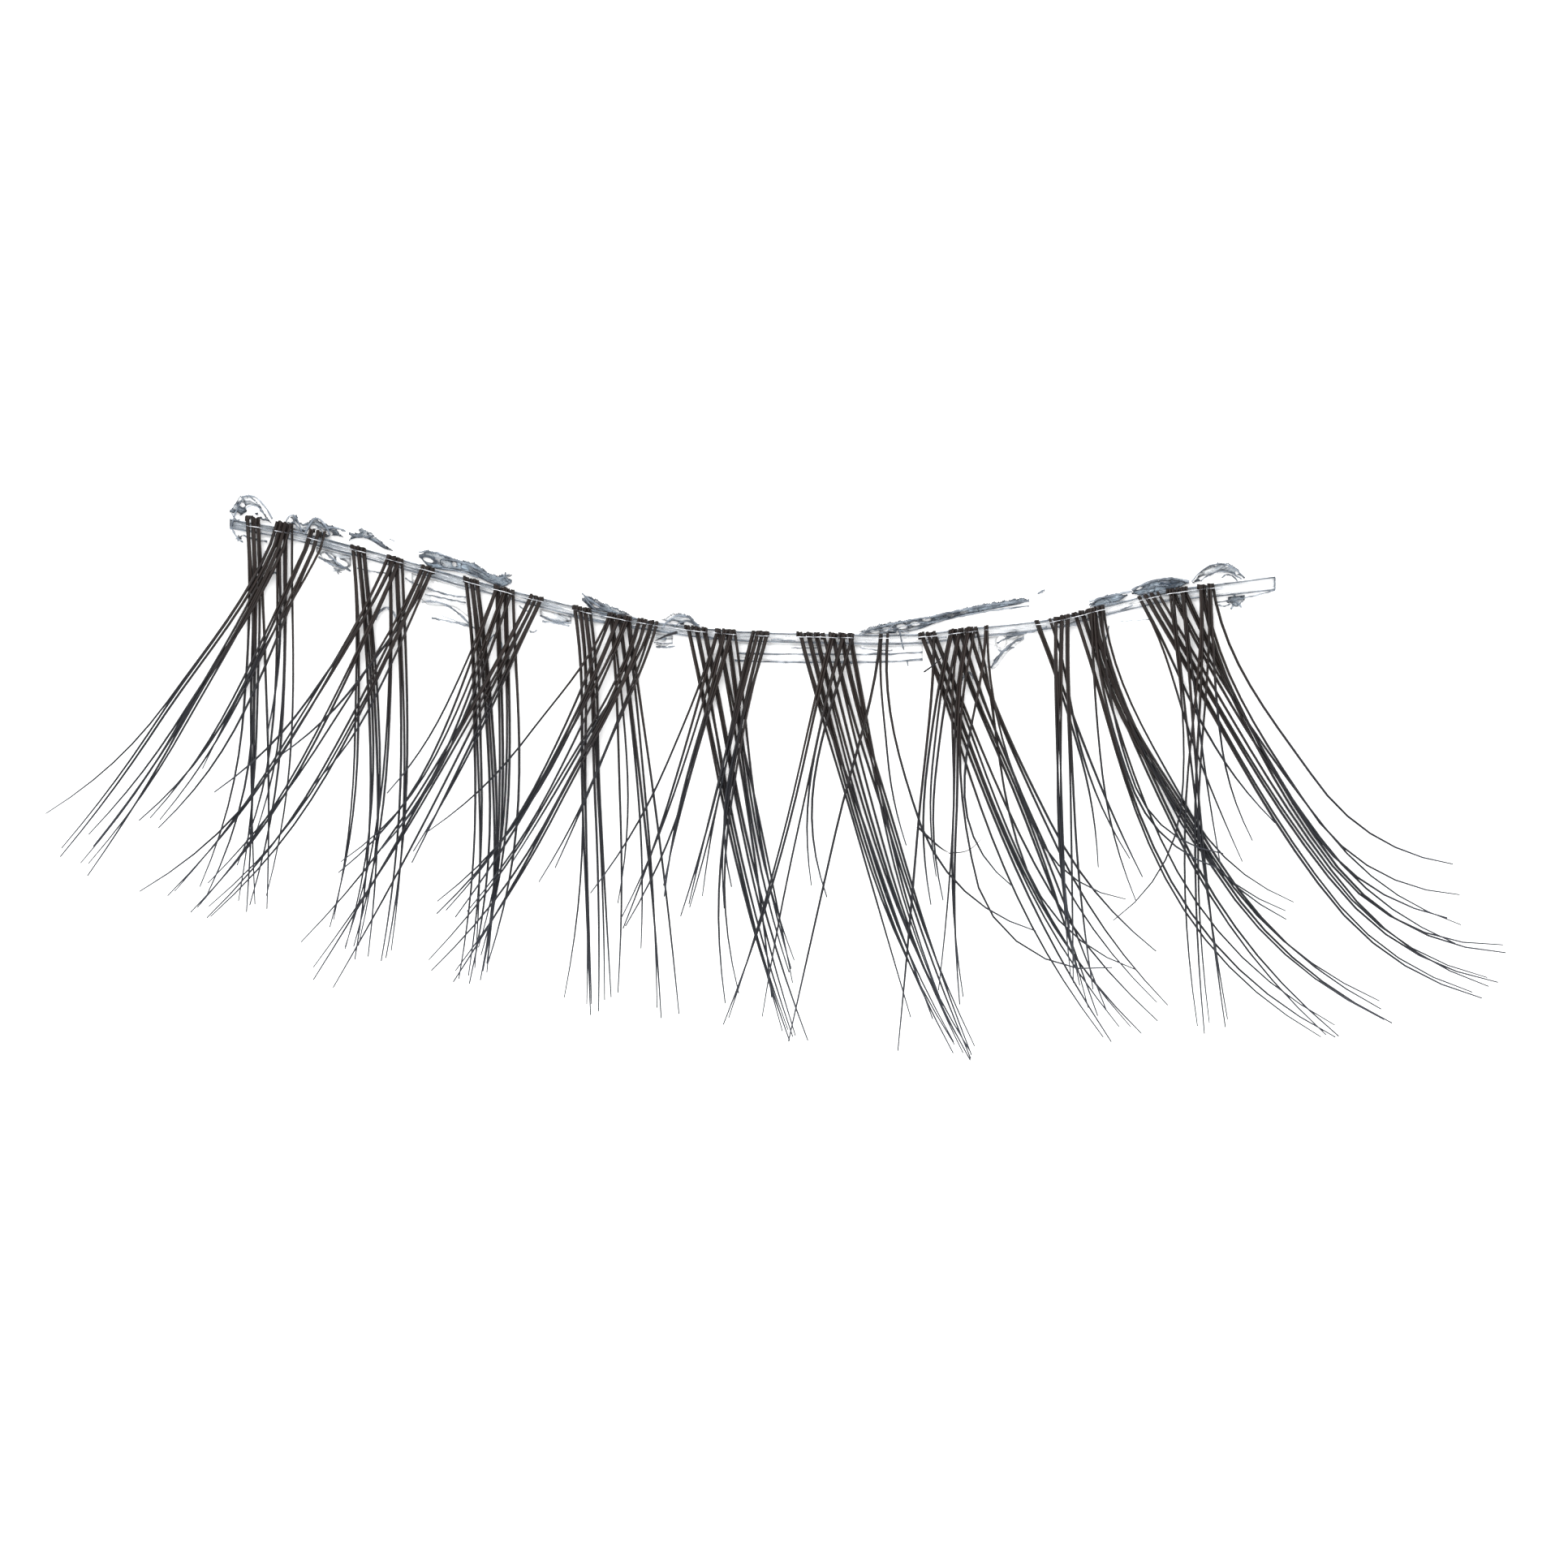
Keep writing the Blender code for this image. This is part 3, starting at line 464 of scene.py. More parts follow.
# Strands of adhesive, from a first to a last place along the band. The drops are how far each end
# lies below the band's back edge, and bulge how far the strand bows down between them, in percent
# of FILM_DEPTH. width is a share of STRAND_WIDTH.
Strand = namedtuple("Strand", "first first_drop last last_drop bulge width")
STRANDS = (
    (0.485, 54, 0.663, 45, 0, 1.0), (0.483, 72, 0.663, 63, 2, 1.1),
    (0.324, 26, 0.429, 17, 2, 0.8), (0.189, 51, 0.226, 46, 4, 1.0),
    (0.187, 68, 0.226, 60, 0, 0.8), (0.184, 90, 0.229, 109, -20, 1.1),
    (0.193, 122, 0.236, 116, -2, 1.0), (0.203, 108, 0.231, 112, 2, 0.6),
    (0.092, 33, 0.116, 62, 4, 1.1), (0.085, 48, 0.113, 58, 6, 1.0),
    (0.139, 167, 0.161, 151, -30, 1.3), (0.245, 163, 0.262, 152, -36, 1.1),
    (0.036, 136, 0.049, 126, -18, 1.1), (0.700, 126, 0.712, 125, -18, 1.3),
    (0.728, 104, 0.760, 36, -14, 1.4), (0.731, 88, 0.751, 58, -10, 1.0),
    (0.734, 43, 0.762, 25, -4, 1.0), (0.735, 59, 0.745, 58, 6, 0.8),
    (0.836, 93, 0.841, 51, 8, 0.8), (0.852, 46, 0.880, 60, 2, 0.6),
    (0.773, -68, 0.780, -74, -2, 1.0), (0.641, -10, 0.645, 38, 4, 0.8),
    (0.648, 62, 0.649, 78, 0, 0.8), (0.287, 87, 0.294, 81, 4, 0.8),
    (0.408, 60, 0.426, 52, 2, 1.0), (0.406, 50, 0.424, 45, 2, 0.6),
    (0.297, 43, 0.327, 42, 4, 1.0), (0.299, 56, 0.325, 51, -2, 1.0),
    (0.663, 17, 0.686, 13, 0, 0.8), (0.537, 36, 0.564, 35, 0, 0.6),
    (0.603, 32, 0.634, 38, 2, 0.6), (0.743, 28, 0.782, 17, 2, 1.0),
    (0.790, 22, 0.813, 28, 2, 0.8), (0.852, 20, 0.864, 15, 0, 0.8),
    (0.013, 34, 0.036, 39, 2, 1.0), (0.002, 19, 0.013, 50, 8, 1.0),
    (0.122, 51, 0.149, 44, 2, 0.8), (0.168, 43, 0.184, 50, 2, 0.8),
    (0.277, 32, 0.286, 40, 2, 0.8), (0.518, 16, 0.541, 19, 0, 0.8),
    (0.454, 18, 0.483, 20, 2, 0.6), (0.945, 51, 0.957, 53, 4, 0.8),
    (0.955, 46, 0.968, 65, -8, 1.0), (0.000, 0, 0.290, 0, 0, 0.6),
    (0.290, 0, 0.640, 1, 0, 0.7), (0.640, 1, 1.000, 1, 0, 0.7),
    (0.000, 22, 0.290, 22, 0, 0.5), (0.290, 22, 0.640, 23, 0, 0.7),
    (0.640, 23, 0.880, 24, 0, 0.6), (0.880, 24, 1.000, 33, 0, 0.6),
    (1.000, 0, 1.000, 33, 0, 0.7), (0.001, 24, 0.013, -58, -10, 0.9),
    (0.012, -59, 0.041, -19, -24, 1.0), (0.015, -31, 0.033, -27, -16, 0.7),
    (0.002, -17, 0.010, -4, 8, 0.6), (0.051, 4, 0.069, -2, -40, 0.9),
    (0.055, 3, 0.066, -2, -22, 0.6), (0.072, 2, 0.096, -12, -40, 1.2),
    (0.078, 0, 0.091, -6, -18, 0.7), (0.092, -25, 0.111, -31, -6, 1.2),
    (0.114, -29, 0.137, -38, 4, 1.5), (0.153, -43, 0.158, -41, 0, 0.7),
    (0.181, -32, 0.215, -37, -8, 1.0), (0.182, -3, 0.196, -7, 6, 0.7),
    (0.206, -32, 0.249, -21, -10, 1.3), (0.203, -8, 0.238, -10, -4, 0.8),
    (0.259, -23, 0.268, -39, 0, 0.9), (0.260, -36, 0.269, -17, 0, 0.8),
    (0.337, -37, 0.385, 3, 10, 1.2), (0.339, -32, 0.364, 7, 12, 0.7),
    (0.355, 8, 0.401, 4, -8, 0.8), (0.413, 13, 0.451, 4, -34, 1.0),
    (0.425, 6, 0.450, 4, -18, 0.7), (0.415, 10, 0.426, -14, -8, 0.6),
    (0.602, -2, 0.669, -39, -8, 0.9), (0.605, 0, 0.650, -4, -12, 0.6),
    (0.623, -4, 0.665, -29, -4, 0.6), (0.665, -37, 0.765, -53, -6, 1.4),
    (0.667, -24, 0.765, -41, -4, 0.9), (0.630, -10, 0.644, -26, -10, 0.6),
    (0.822, -20, 0.863, -20, -2, 1.3), (0.823, -8, 0.864, 3, 0, 0.7),
    (0.863, -22, 0.918, -14, -14, 1.5), (0.867, 1, 0.917, 3, -4, 1.0),
    (0.873, -17, 0.898, -12, -4, 0.8), (0.920, -14, 0.971, -6, -40, 0.8),
    (0.929, -13, 0.968, -4, -22, 0.8), (0.949, -14, 0.964, -1, -12, 0.8),
    (0.943, 44, 1.000, 33, 4, 0.8),
)

# Loose chips of adhesive. drop is below the band's back edge, and long and wide are half sizes, in
# percent of FILM_DEPTH. turn is in degrees, and spikes is how strongly the rim is pointed.
Chip = namedtuple("Chip", "along drop long wide turn spikes")
CHIPS = (
    (0.155, -62, 7, 3, -30, 0.2),
    (0.264, -28, 20, 17, 25, 0.8),
    (0.776, -70, 11, 3, 15, 0.3),
    (0.814, -23, 5, 3, 20, 0.2),
    (0.962, 50, 24, 20, 30, 0.8),
    (0.311, 46, 28, 5, -12, 0.5),
    (0.415, 38, 22, 4, 0, 0.5),
    (0.009, 42, 12, 8, 40, 0.6),
    (0.034, 75, 5, 12, 10, 0.6),
    (0.103, 72, 16, 7, -20, 0.7),
)

# Holes torn in the flakes and films. drop is below the band's back edge, and long and wide are half
# sizes, in percent of FILM_DEPTH.
Hole = namedtuple("Hole", "along drop long wide")
HOLES = (
    (0.022, -36, 18, 10), (0.012, -41, 8, 6), (0.007, -15, 8, 6),
    (0.030, -26, 8, 6), (0.014, -6, 8, 6), (0.058, -25, 8, 6),
    (0.067, -30, 8, 6), (0.081, -19, 10, 8), (0.088, -18, 8, 6),
    (0.095, -17, 10, 6), (0.122, -39, 8, 4), (0.215, -27, 6, 6),
    (0.190, -19, 14, 6), (0.225, -12, 18, 4), (0.248, -36, 12, 6),
    (0.351, -13, 12, 4), (0.370, 1, 12, 4), (0.426, -4, 12, 6),
    (0.439, -7, 12, 6), (0.617, -8, 12, 4), (0.630, -14, 16, 5),
    (0.643, -20, 14, 6), (0.656, -26, 14, 5), (0.667, -34, 12, 4),
    (0.870, -23, 10, 4), (0.883, 1, 16, 4), (0.902, 4, 14, 4),
    (0.933, -19, 16, 6), (0.946, -25, 12, 4), (0.957, -13, 14, 6),
    (0.094, 42, 16, 8), (0.107, 49, 16, 8), (0.305, 56, 16, 6),
    (0.319, 57, 18, 6), (0.738, 40, 12, 14), (0.749, 27, 14, 8),
)

# Loose fibres off the ribbons, as points across and down from a tuft's middle, as shares of
# LASH_LENGTH. width is a share of FIBRE_WIDTH.
Stray = namedtuple(
    "Stray",
    "cluster tuft start_across start_drop middle_across middle_drop tip_across tip_drop width",
)
STRAYS = (
    (4, "c", 0.073, 0.028, 0.045, 0.037, 0.018, 0.050, 1.0),
    (7, "a", -0.008, 0.096, 0.018, 0.077, 0.042, 0.054, 0.6),
    (7, "b", -0.112, 0.487, -0.060, 0.535, -0.032, 0.553, 0.8),
    (7, "b", -0.034, 0.553, 0.015, 0.545, 0.062, 0.503, 0.4),
)


# Curves of the strip

def smoothed(along, places, values):
    """Values at given places, joined by a smooth cubic curve that runs on straight at the ends."""
    places = np.asarray(places, float)
    values = np.asarray(values, float)
    slopes = np.gradient(values, places)
    span = np.clip(np.searchsorted(places, along, side="right") - 1, 0, len(places) - 2)
    step = places[span + 1] - places[span]
    t = (along - places[span]) / step
    inside = np.clip(t, 0.0, 1.0)
    curve = (
        (2 * inside**3 - 3 * inside**2 + 1) * values[span]
        + (inside**3 - 2 * inside**2 + inside) * step * slopes[span]
        + (3 * inside**2 - 2 * inside**3) * values[span + 1]
        + (inside**3 - inside**2) * step * slopes[span + 1]
    )
    beyond = (t - inside) * step
    return curve + beyond * np.where(beyond > 0, slopes[-1], slopes[0])


def smoothstep(low, high, value):
    t = np.clip((value - low) / (high - low), 0.0, 1.0)
    return t * t * (3 - 2 * t)


BAND = BandRow(*(np.array(column) for column in zip(*BAND_ROWS)))


def back_edge(along):
    """The y of the band's back edge at a share of its length."""
    return smoothed(along, BAND.along, BAND.rise) * BAND_RISE


def front_edge(along):
    return back_edge(along) - np.interp(along, BAND.along, BAND.width) * BAND_WIDTH


def strip_place():
    """The strip's own zero point in the solids' frame, from the lowest corner of the band's box."""
    low = np.array(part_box("band")[0])
    return low - [0.0, front_edge(np.linspace(0.0, 1.0, BAND_STATIONS)).min(), 0.0]


PLACE = strip_place()


def ripple(u, seed):
    """An uneven wave between about -1 and 1: sines of rising pace, each weaker than the last."""
    pace = 1.0
    total = 0.0
    for wave in range(RIPPLE_WAVES):
        shift = seed * (SEED_SHIFT + WAVE_SHIFT * wave)
        total = total + np.sin(2 * np.pi * (pace * u + shift)) / (wave + RIPPLE_FADE)
        pace *= RIPPLE_PACE
    return total / RIPPLE_SCALE


def torn(along, number, tears):
    """How far a torn edge runs in or out, from ripples given by their size, pace and seed step."""
    return sum(size * ripple(along * pace, number * step) for size, pace, step in tears)


def spread(number, step=GOLDEN_STEP):
    """Scattered values from 0 to 1 for whole numbers: the fractional part of each one's steps."""
    return np.asarray(number) * step % 1.0


# Meshes

def add_object(name, data):
    made = bpy.data.objects.new(name, data)
    bpy.context.scene.collection.objects.link(made)
    return made


def make_piece(name, points, faces, material, slot, **attributes):
    """A piece riding with the strip, from points in the strip's coordinates and face corners."""
    mesh = bpy.data.meshes.new(name)
    mesh.from_pydata((points.reshape(-1, 3) + PLACE).tolist(), [], faces)
    mesh.validate()
    for key, values in attributes.items():
        layer = mesh.attributes.new(key, "FLOAT", "POINT")
        values = np.broadcast_to(values, points.shape[:-1])
        layer.data.foreach_set("value", np.asarray(values, np.float32).ravel())
    mesh.shade_smooth()
    mesh.materials.append(material)
    piece = add_object(name, mesh)
    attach(piece, "root")
    return piece


def tube_faces(tubes, stations, sides):
    """Faces of tubes laid out as (tube, station, side): quads between stations, and end caps."""
    counts = (tubes, stations - 1, sides)
    tube, station, side = np.meshgrid(*map(np.arange, counts), indexing="ij")
    after = (side + 1) % sides
    start = (tube * stations + station) * sides
    corners = [start + side, start + after, start + sides + after, start + sides + side]
    quads = np.stack(corners, axis=-1).reshape(-1, 4)
    ring = np.arange(sides)
    first = np.arange(tubes)[:, None] * stations * sides + ring[::-1]
    last = (np.arange(tubes)[:, None] + 1) * stations * sides - sides + ring
    return quads.tolist() + first.tolist() + last.tolist()


def unit(vectors):
    return vectors / np.maximum(np.linalg.norm(vectors, axis=-1, keepdims=True), SHORTEST)


def tube_points(paths, radii, sides):
    """Round tubes along paths (tube, station, 3), each ring square to its path."""
    run = unit(np.gradient(paths, axis=1))
    aside = unit(np.cross(run, [0.0, 0.0, 1.0]))
    upright = np.cross(aside, run)
    turn = (2 * np.pi * np.arange(sides) / sides)[:, None]
    around = aside[:, :, None] * np.cos(turn) - upright[:, :, None] * np.sin(turn)
    return paths[:, :, None] + around * radii[:, :, None, None]


def add_tubes(name, paths, radii, sides, material, slot, **attributes):
    """A piece made of round tubes along paths."""
    points = tube_points(np.array(paths), np.array(radii), sides)
    make_piece(name, points, tube_faces(*points.shape[:3]), material, slot, **attributes)


# Lashes

def sheet_height(x, y, cluster, over):
    """A lash's height: level on the band, down to its layer in front of it, then curling up."""
    on_band = HEAD_LEVEL + over * LAYER_STEP
    layer = (cluster + 1) % 2 + 2 * over
    in_front = LOCK_THICKNESS / 2 + layer * LAYER_STEP
    below = back_edge(x / BAND_LENGTH) - y
    turned = 1 - (1 - OUTER_END_CURL) * smoothstep(EASE_START, EASE_END, x / BAND_LENGTH)
    curl = np.clip(below - FLAT_LENGTH, 0.0, None) ** 2 / (2 * CURL_RADIUS) * turned
    dip = smoothstep(FILM_DEPTH, FILM_DEPTH + DIP_LENGTH, below)
    return on_band + (in_front - on_band) * dip + curl


Fibre = namedtuple("Fibre", "root lean middle tip over seed")


def tuft_places(cluster):
    """The tufts of a cluster by name, each with its middle at the band's back edge."""
    places = {}
    for tuft in starmap(Tuft, TUFTS[cluster]):
        centre = np.array([tuft.along * BAND_LENGTH, back_edge(tuft.along)])
        places[tuft.name] = (tuft, centre)
    return places


def lock_fibre(ribbon, lock, number, share, tuft, centre, seed):
    """One fibre of a lock, at its share of the way across its ribbon.

    The tips of a lock lie close together or far apart, and each is a little longer or shorter.
    """
    middle = centre + LASH_LENGTH * (np.array([lock.middle_across, -lock.middle_drop]) / 100)
    tip = centre + LASH_LENGTH * (np.array([lock.tip_across, -lock.tip_drop]) / 100)
    down = unit(tip - centre)
    aside = np.array([-down[1], down[0]])
    x = centre[0] + (share - 0.5) * tuft.width * TUFT_WIDTH
    offset = (number - (lock.fibres - 1) / 2) * FIBRE_WIDTH
    crossed = offset + ((spread(seed) - 0.5) * lock.fibres * FIBRE_WIDTH - offset) * TIP_CROSSING
    loose = TIP_SPACING * (TIGHTEST + LOOSENESS * spread(seed - number, LOOSE_STEP))
    scatter = LASH_LENGTH * TIP_SCATTER * (spread(seed, LENGTH_STEP) - TIP_SETBACK)
    if lock.fibres == 1:
        scatter = 0.0
    sway = (spread(seed, SWAY_STEP) - 0.5) * FIBRE_WIDTH
    return Fibre(
        root=(x, back_edge(x / BAND_LENGTH)),
        lean=np.radians(ribbon.lean),
        middle=middle + aside * (offset * MIDDLE_SPACING + MIDDLE_SWAY * sway),
        tip=tip + aside * (crossed * loose + TIP_SWAY * sway) + down * scatter,
        over=float(ribbon.level == "over"),
        seed=seed,
    )


def cluster_fibres(cluster):
    """The fibres of a cluster, side by side in their ribbons, as arrays with a row for each."""
    places = tuft_places(cluster)
    rows = []
    for ribbon in starmap(Ribbon, RIBBONS[cluster]):
        tuft, centre = places[ribbon.tuft]
        locks = list(starmap(Lock, ribbon.locks))
        total = sum(lock.fibres for lock in locks)
        laid = 0
        for lock in locks:
            for number in range(lock.fibres):
                seed = cluster * SEED_STRIDE + len(rows)
                paired = laid + (0.5 - laid % 2) * ROOT_PAIRING
                share = (paired + 0.5 + ROOT_SCATTER * (spread(seed, ROOT_STEP) - 0.5)) / total
                laid += 1
                rows.append(lock_fibre(ribbon, lock, number, share, tuft, centre, seed))
    return Fibre(*(np.array(column) for column in zip(*rows)))


def cubic_spans(start, leaving, end, arriving, t):
    """Cubic spans, a row each, with handles at both ends, at the places t (row, station)."""
    t = t[..., None]
    corners = [point[:, None] for point in (start, start + leaving, end - arriving, end)]
    weights = ((1 - t) ** 3, 3 * t * (1 - t) ** 2, 3 * t * t * (1 - t), t**3)
    return sum(weight * corner for weight, corner in zip(weights, corners))


def plan_curves(fibres, t):
    """Each fibre from above: it sets off at its lean, passes its middle and bends on to its tip."""
    upper = np.linalg.norm(fibres.middle - fibres.root, axis=1, keepdims=True)
    lower = np.linalg.norm(fibres.tip - fibres.middle, axis=1, keepdims=True)
    setting_off = np.stack([np.sin(fibres.lean), -np.cos(fibres.lean)], axis=1)
    to_tip = unit(fibres.tip - fibres.middle)
    passing = unit(STEEPNESS * unit(fibres.middle - fibres.root) + (1 - STEEPNESS) * to_tip)
    ending = 2 * np.sum(passing * to_tip, axis=1, keepdims=True) * to_tip - passing
    turn = upper / (upper + lower)
    before = np.clip(t / turn, 0.0, 1.0)
    after = np.clip((t - turn) / (1 - turn), 0.0, 1.0)
    reach = HANDLE_SHARE * upper
    first = cubic_spans(fibres.root, reach * setting_off, fibres.middle, reach * passing, before)
    reach = HANDLE_SHARE * lower
    second = cubic_spans(fibres.middle, reach * passing, fibres.tip, reach * ending, after)
    return np.where((t < turn)[..., None], first, second)


def fibre_paths(cluster, fibres, t):
    """Each fibre's path: its plan, its end carried past the band's edge, on the curled sheet."""
    plan = plan_curves(fibres, t)
    uneven = 0.8 + 0.4 * spread(fibres.seed)
    plan[:, 0, 1] += HEAD_OVERHANG * HEAD_RISE.get(cluster, PLAIN_RISE) * uneven
    height = sheet_height(plan[..., 0], plan[..., 1], cluster, fibres.over[:, None])
    height += (spread(fibres.seed, HEIGHT_STEP) - 0.5)[:, None] * LAYER_GAP
    return np.concatenate([plan, height[..., None]], axis=-1)


def stub_paths(cluster):
    """The short square-cut ends that fill each tuft's head, side by side, from back to front."""
    rows = []
    for tuft, centre in tuft_places(cluster).values():
        if (cluster, tuft.name) in BARE_HEADS:
            continue
        count = int(tuft.width * TUFT_WIDTH / STUB_SPACING)
        number = np.arange(count)
        x = centre[0] + ((number + 0.5) / count - 0.5) * tuft.width * TUFT_WIDTH
        uneven = STUB_UNEVENNESS * (spread(number + 7 * cluster) - 0.5)
        rise = HEAD_OVERHANG * (HEAD_RISE.get(cluster, PLAIN_RISE) + uneven)
        top = back_edge(x / BAND_LENGTH) + rise
        length = STUB_LENGTH * (0.7 + 0.5 * spread(number + 3 * cluster, SWAY_STEP))
        level = HEAD_LEVEL + LAYER_STEP * spread(number, TONE_STEP)
        ends = [np.stack([x, top - down * length, level], axis=-1) for down in (0.0, 0.5, 1.0)]
        rows.append(np.stack(ends, axis=1))
    return np.concatenate(rows)


def add_cluster(cluster, material):
    """Every fibre of a cluster as a tapered tube, with the short ends that fill its heads."""
    fibres = cluster_fibres(cluster)
    t = np.linspace(0.0, 1.0, FIBRE_STATIONS) ** STATION_POWER
    paths = fibre_paths(cluster, fibres, t)
    thick = FIBRE_WIDTH * (THINNEST + UNEVENNESS * spread(fibres.seed, LENGTH_STEP))[:, None]
    thinning = EARLY_THINNING * smoothstep(*THINNING_SPAN, t)
    radii = thick / 2 * (1 - thinning - LATE_THINNING * t**4)
    long_points = tube_points(paths, radii, FIBRE_SIDES)
    stubs = stub_paths(cluster)
    short_points = tube_points(stubs, np.full(stubs.shape[:2], FIBRE_WIDTH / 2), FIBRE_SIDES)
    shape, short_shape = long_points.shape[:3], short_points.shape[:3]
    start = int(np.prod(shape))
    faces = tube_faces(*shape)
    faces += [[corner + start for corner in face] for face in tube_faces(*short_shape)]
    tone = np.broadcast_to(spread(fibres.seed, TONE_STEP)[:, None, None], shape).ravel()
    reach = np.broadcast_to(t[None, :, None], shape).ravel()
    short = np.zeros(np.prod(short_shape))
    name = f"lash_cluster_{cluster}"
    piece = make_piece(
        f"{name}_fibres",
        np.concatenate([long_points.reshape(-1, 3), short_points.reshape(-1, 3)]),
        faces,
        material,
        "brown-black lash",
        tone=np.concatenate([tone, short + STUB_TONE]),
        reach=np.concatenate([reach, short]),
    )
    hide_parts(name)


def add_strays(material):
    """The few loose fibres, each one bend through its middle point."""
    t = np.linspace(0.0, 1.0, FIBRE_STATIONS)
    places = (0.0, 0.5, 1.0)
    paths = []
    radii = []
    for stray in starmap(Stray, STRAYS):
        _, centre = tuft_places(stray.cluster)[stray.tuft]
        across = (stray.start_across, stray.middle_across, stray.tip_across)
        drop = (stray.start_drop, stray.middle_drop, stray.tip_drop)
        x = centre[0] + LASH_LENGTH * smoothed(t, places, across)
        y = centre[1] - LASH_LENGTH * smoothed(t, places, drop)
        height = sheet_height(x, y, stray.cluster, 1.0) + LAYER_STEP
        paths.append(np.column_stack([x, y, height]))
        radii.append(stray.width * FIBRE_WIDTH / 2 * (1 - STRAY_THINNING * t**2))
    look = {"tone": STRAY_TONE, "reach": STRAY_REACH}
    add_tubes("stray_fibres", paths, radii, FIBRE_SIDES, material, "brown-black lash", **look)


# Band, thread and adhesive

def add_thread(number, setback, climbs, material):
    """A tying thread along the band. With climbs at 1 it rises over each tuft and sinks between."""
    along = np.linspace(*THREAD_SPAN, THREAD_STATIONS)
    over = np.zeros_like(along)
    for tuft in starmap(Tuft, chain(*TUFTS.values())):
        half = 0.5 * tuft.width * TUFT_WIDTH / BAND_LENGTH
        away = np.abs(along - tuft.along)
        over = np.maximum(over, 1 - smoothstep(half, half + THREAD_SLOPE, away))
    low = BAND_THICKNESS + THREAD_WIDTH
    high = HEAD_BOTTOM + LAYER_STEP + LOCK_THICKNESS + 2 * HEAD_COVER
    sway = ripple(along * 30, number) * THREAD_SWAY
    climb = low + (high - low) * over * climbs
    path = np.column_stack([along * BAND_LENGTH, back_edge(along) - setback + sway, climb])
    radii = THREAD_WIDTH / 2 * (1 + 0.3 * ripple(along * 60, number + 0.5))
    name = f"tying_thread_{number}"
    add_tubes(name, path[None], radii[None], THREAD_SIDES, material, "clear film")


def sheet_section():
    """Around a closed sheet: the share from its low to its high edge, and its side, -1 to 1."""
    turn = 2 * np.pi * (np.arange(PLATE_SIDES) + 0.5) / PLATE_SIDES
    share = 0.5 + 0.5 * np.sign(np.cos(turn)) * np.abs(np.cos(turn)) ** PLATE_CROWDING
    face = np.sign(np.sin(turn)) * np.abs(np.sin(turn)) ** PLATE_BULGE
    return share, face


def hole_distance(x, behind):
    """About how far each place lies outside the nearest hole, up to the width of a rim."""
    nearest = np.full(np.broadcast(x, behind).shape, RIM_WIDTH)
    for hole in starmap(Hole, HOLES):
        drop, long, wide = FILM_DEPTH * np.array([hole.drop, hole.long, hole.wide]) / 100
        share = np.hypot((x - hole.along * BAND_LENGTH) / long, (behind + drop) / wide)
        nearest = np.minimum(nearest, (share - 1) * wide)
    return nearest


def add_plate(name, slot, material, along, low, high, bottom, top, cloud):
    """A thin closed sheet between a low and a high edge, in place of the solid of that name."""
    share, face = sheet_section()
    x = along * BAND_LENGTH
    y = low[:, None] + (high - low)[:, None] * share
    z = (bottom + top)[:, None] / 2 + (top - bottom)[:, None] / 2 * face
    points = np.stack([np.broadcast_to(x[:, None], y.shape), y, z], axis=-1)
    inside = np.minimum(y - low[:, None], high[:, None] - y)
    ends = np.minimum(x - x[0], x[-1] - x)[:, None]
    behind = y - back_edge(along)[:, None]
    clear = hole_distance(points[..., 0], behind)
    to_edge = np.minimum(np.minimum(inside, ends), np.abs(clear))
    piece = make_piece(
        f"{name}_sheet",
        points[None],
        tube_faces(1, *y.shape),
        material,
        slot,
        # rim carries the painted refraction shade: darker and more opaque near the sheet's edges
        # and holes
        rim=1 - smoothstep(0.0, RIM_WIDTH, to_edge),
        kept=np.clip(0.5 + clear / RIM_WIDTH, 0.0, 1.0),
        cloud=np.broadcast_to(np.reshape(cloud, (-1, 1)), y.shape),
        along=points[..., 0],
        behind=behind,
    )
    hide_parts(name)


def add_band(material):
    """The clear band, with worn edges and an uneven top."""
    along = np.linspace(0.0, 1.0, BAND_LOOK_STATIONS)
    worn = ripple(along * 40, 0.3) * WORN_DEPTH
    low, high = front_edge(along) + worn, back_edge(along) - worn
    bottom = np.zeros_like(along)
    top = BAND_THICKNESS * (0.9 + 0.1 * ripple(along * 25, 0.8))
    cloud = np.interp(along, *zip(*CLOUD_ROWS))
    add_plate("band", "clear film", material, along, low, high, bottom, top, cloud)


def add_adhesive(name, material, along, low, high, bottom, thickness, cloud):
    """A plate of dried adhesive, equally thick all over."""
    top = bottom + thickness
    add_plate(name, "dried adhesive", material, along, low, high, bottom, top, cloud)


def add_flake(number, flake, material):
    """A flake with torn edges, a little warped, standing off the band's back edge."""
    steps = np.linspace(flake.first, flake.last, len(flake.low))
    along = np.linspace(flake.first, flake.last, PLATE_STATIONS * len(flake.low))
    low = np.clip(smoothed(along, steps, flake.low), 0.0, None)
    high = smoothed(along, steps, flake.high) + torn(along, number, FLAKE_TEARS)
    high = np.maximum(high, low + LEAST_FLAKE)
    ends = np.minimum(along - along[0], along[-1] - along) * BAND_LENGTH
    shrink = 0.8 * (1 - smoothstep(0.0, FLAKE_TAPER, ends)) * (high - low) / 2
    low, high = low + shrink, high - shrink
    edge = back_edge(along) + EDGE_GAP
    turns = np.linspace(0.0, FLAKE_WAVES, len(along))
    add_adhesive(
        f"adhesive_flake_{number}",
        material,
        along,
        edge + low * FLAKE_HEIGHT,
        edge + high * FLAKE_HEIGHT,
        (0.5 + 0.5 * np.sin(2 * np.pi * turns + number)) * FLAKE_THICKNESS,
        FLAKE_THICKNESS,
        np.linspace(*FLAKE_CLOUD[number - 1], len(along)),
    )


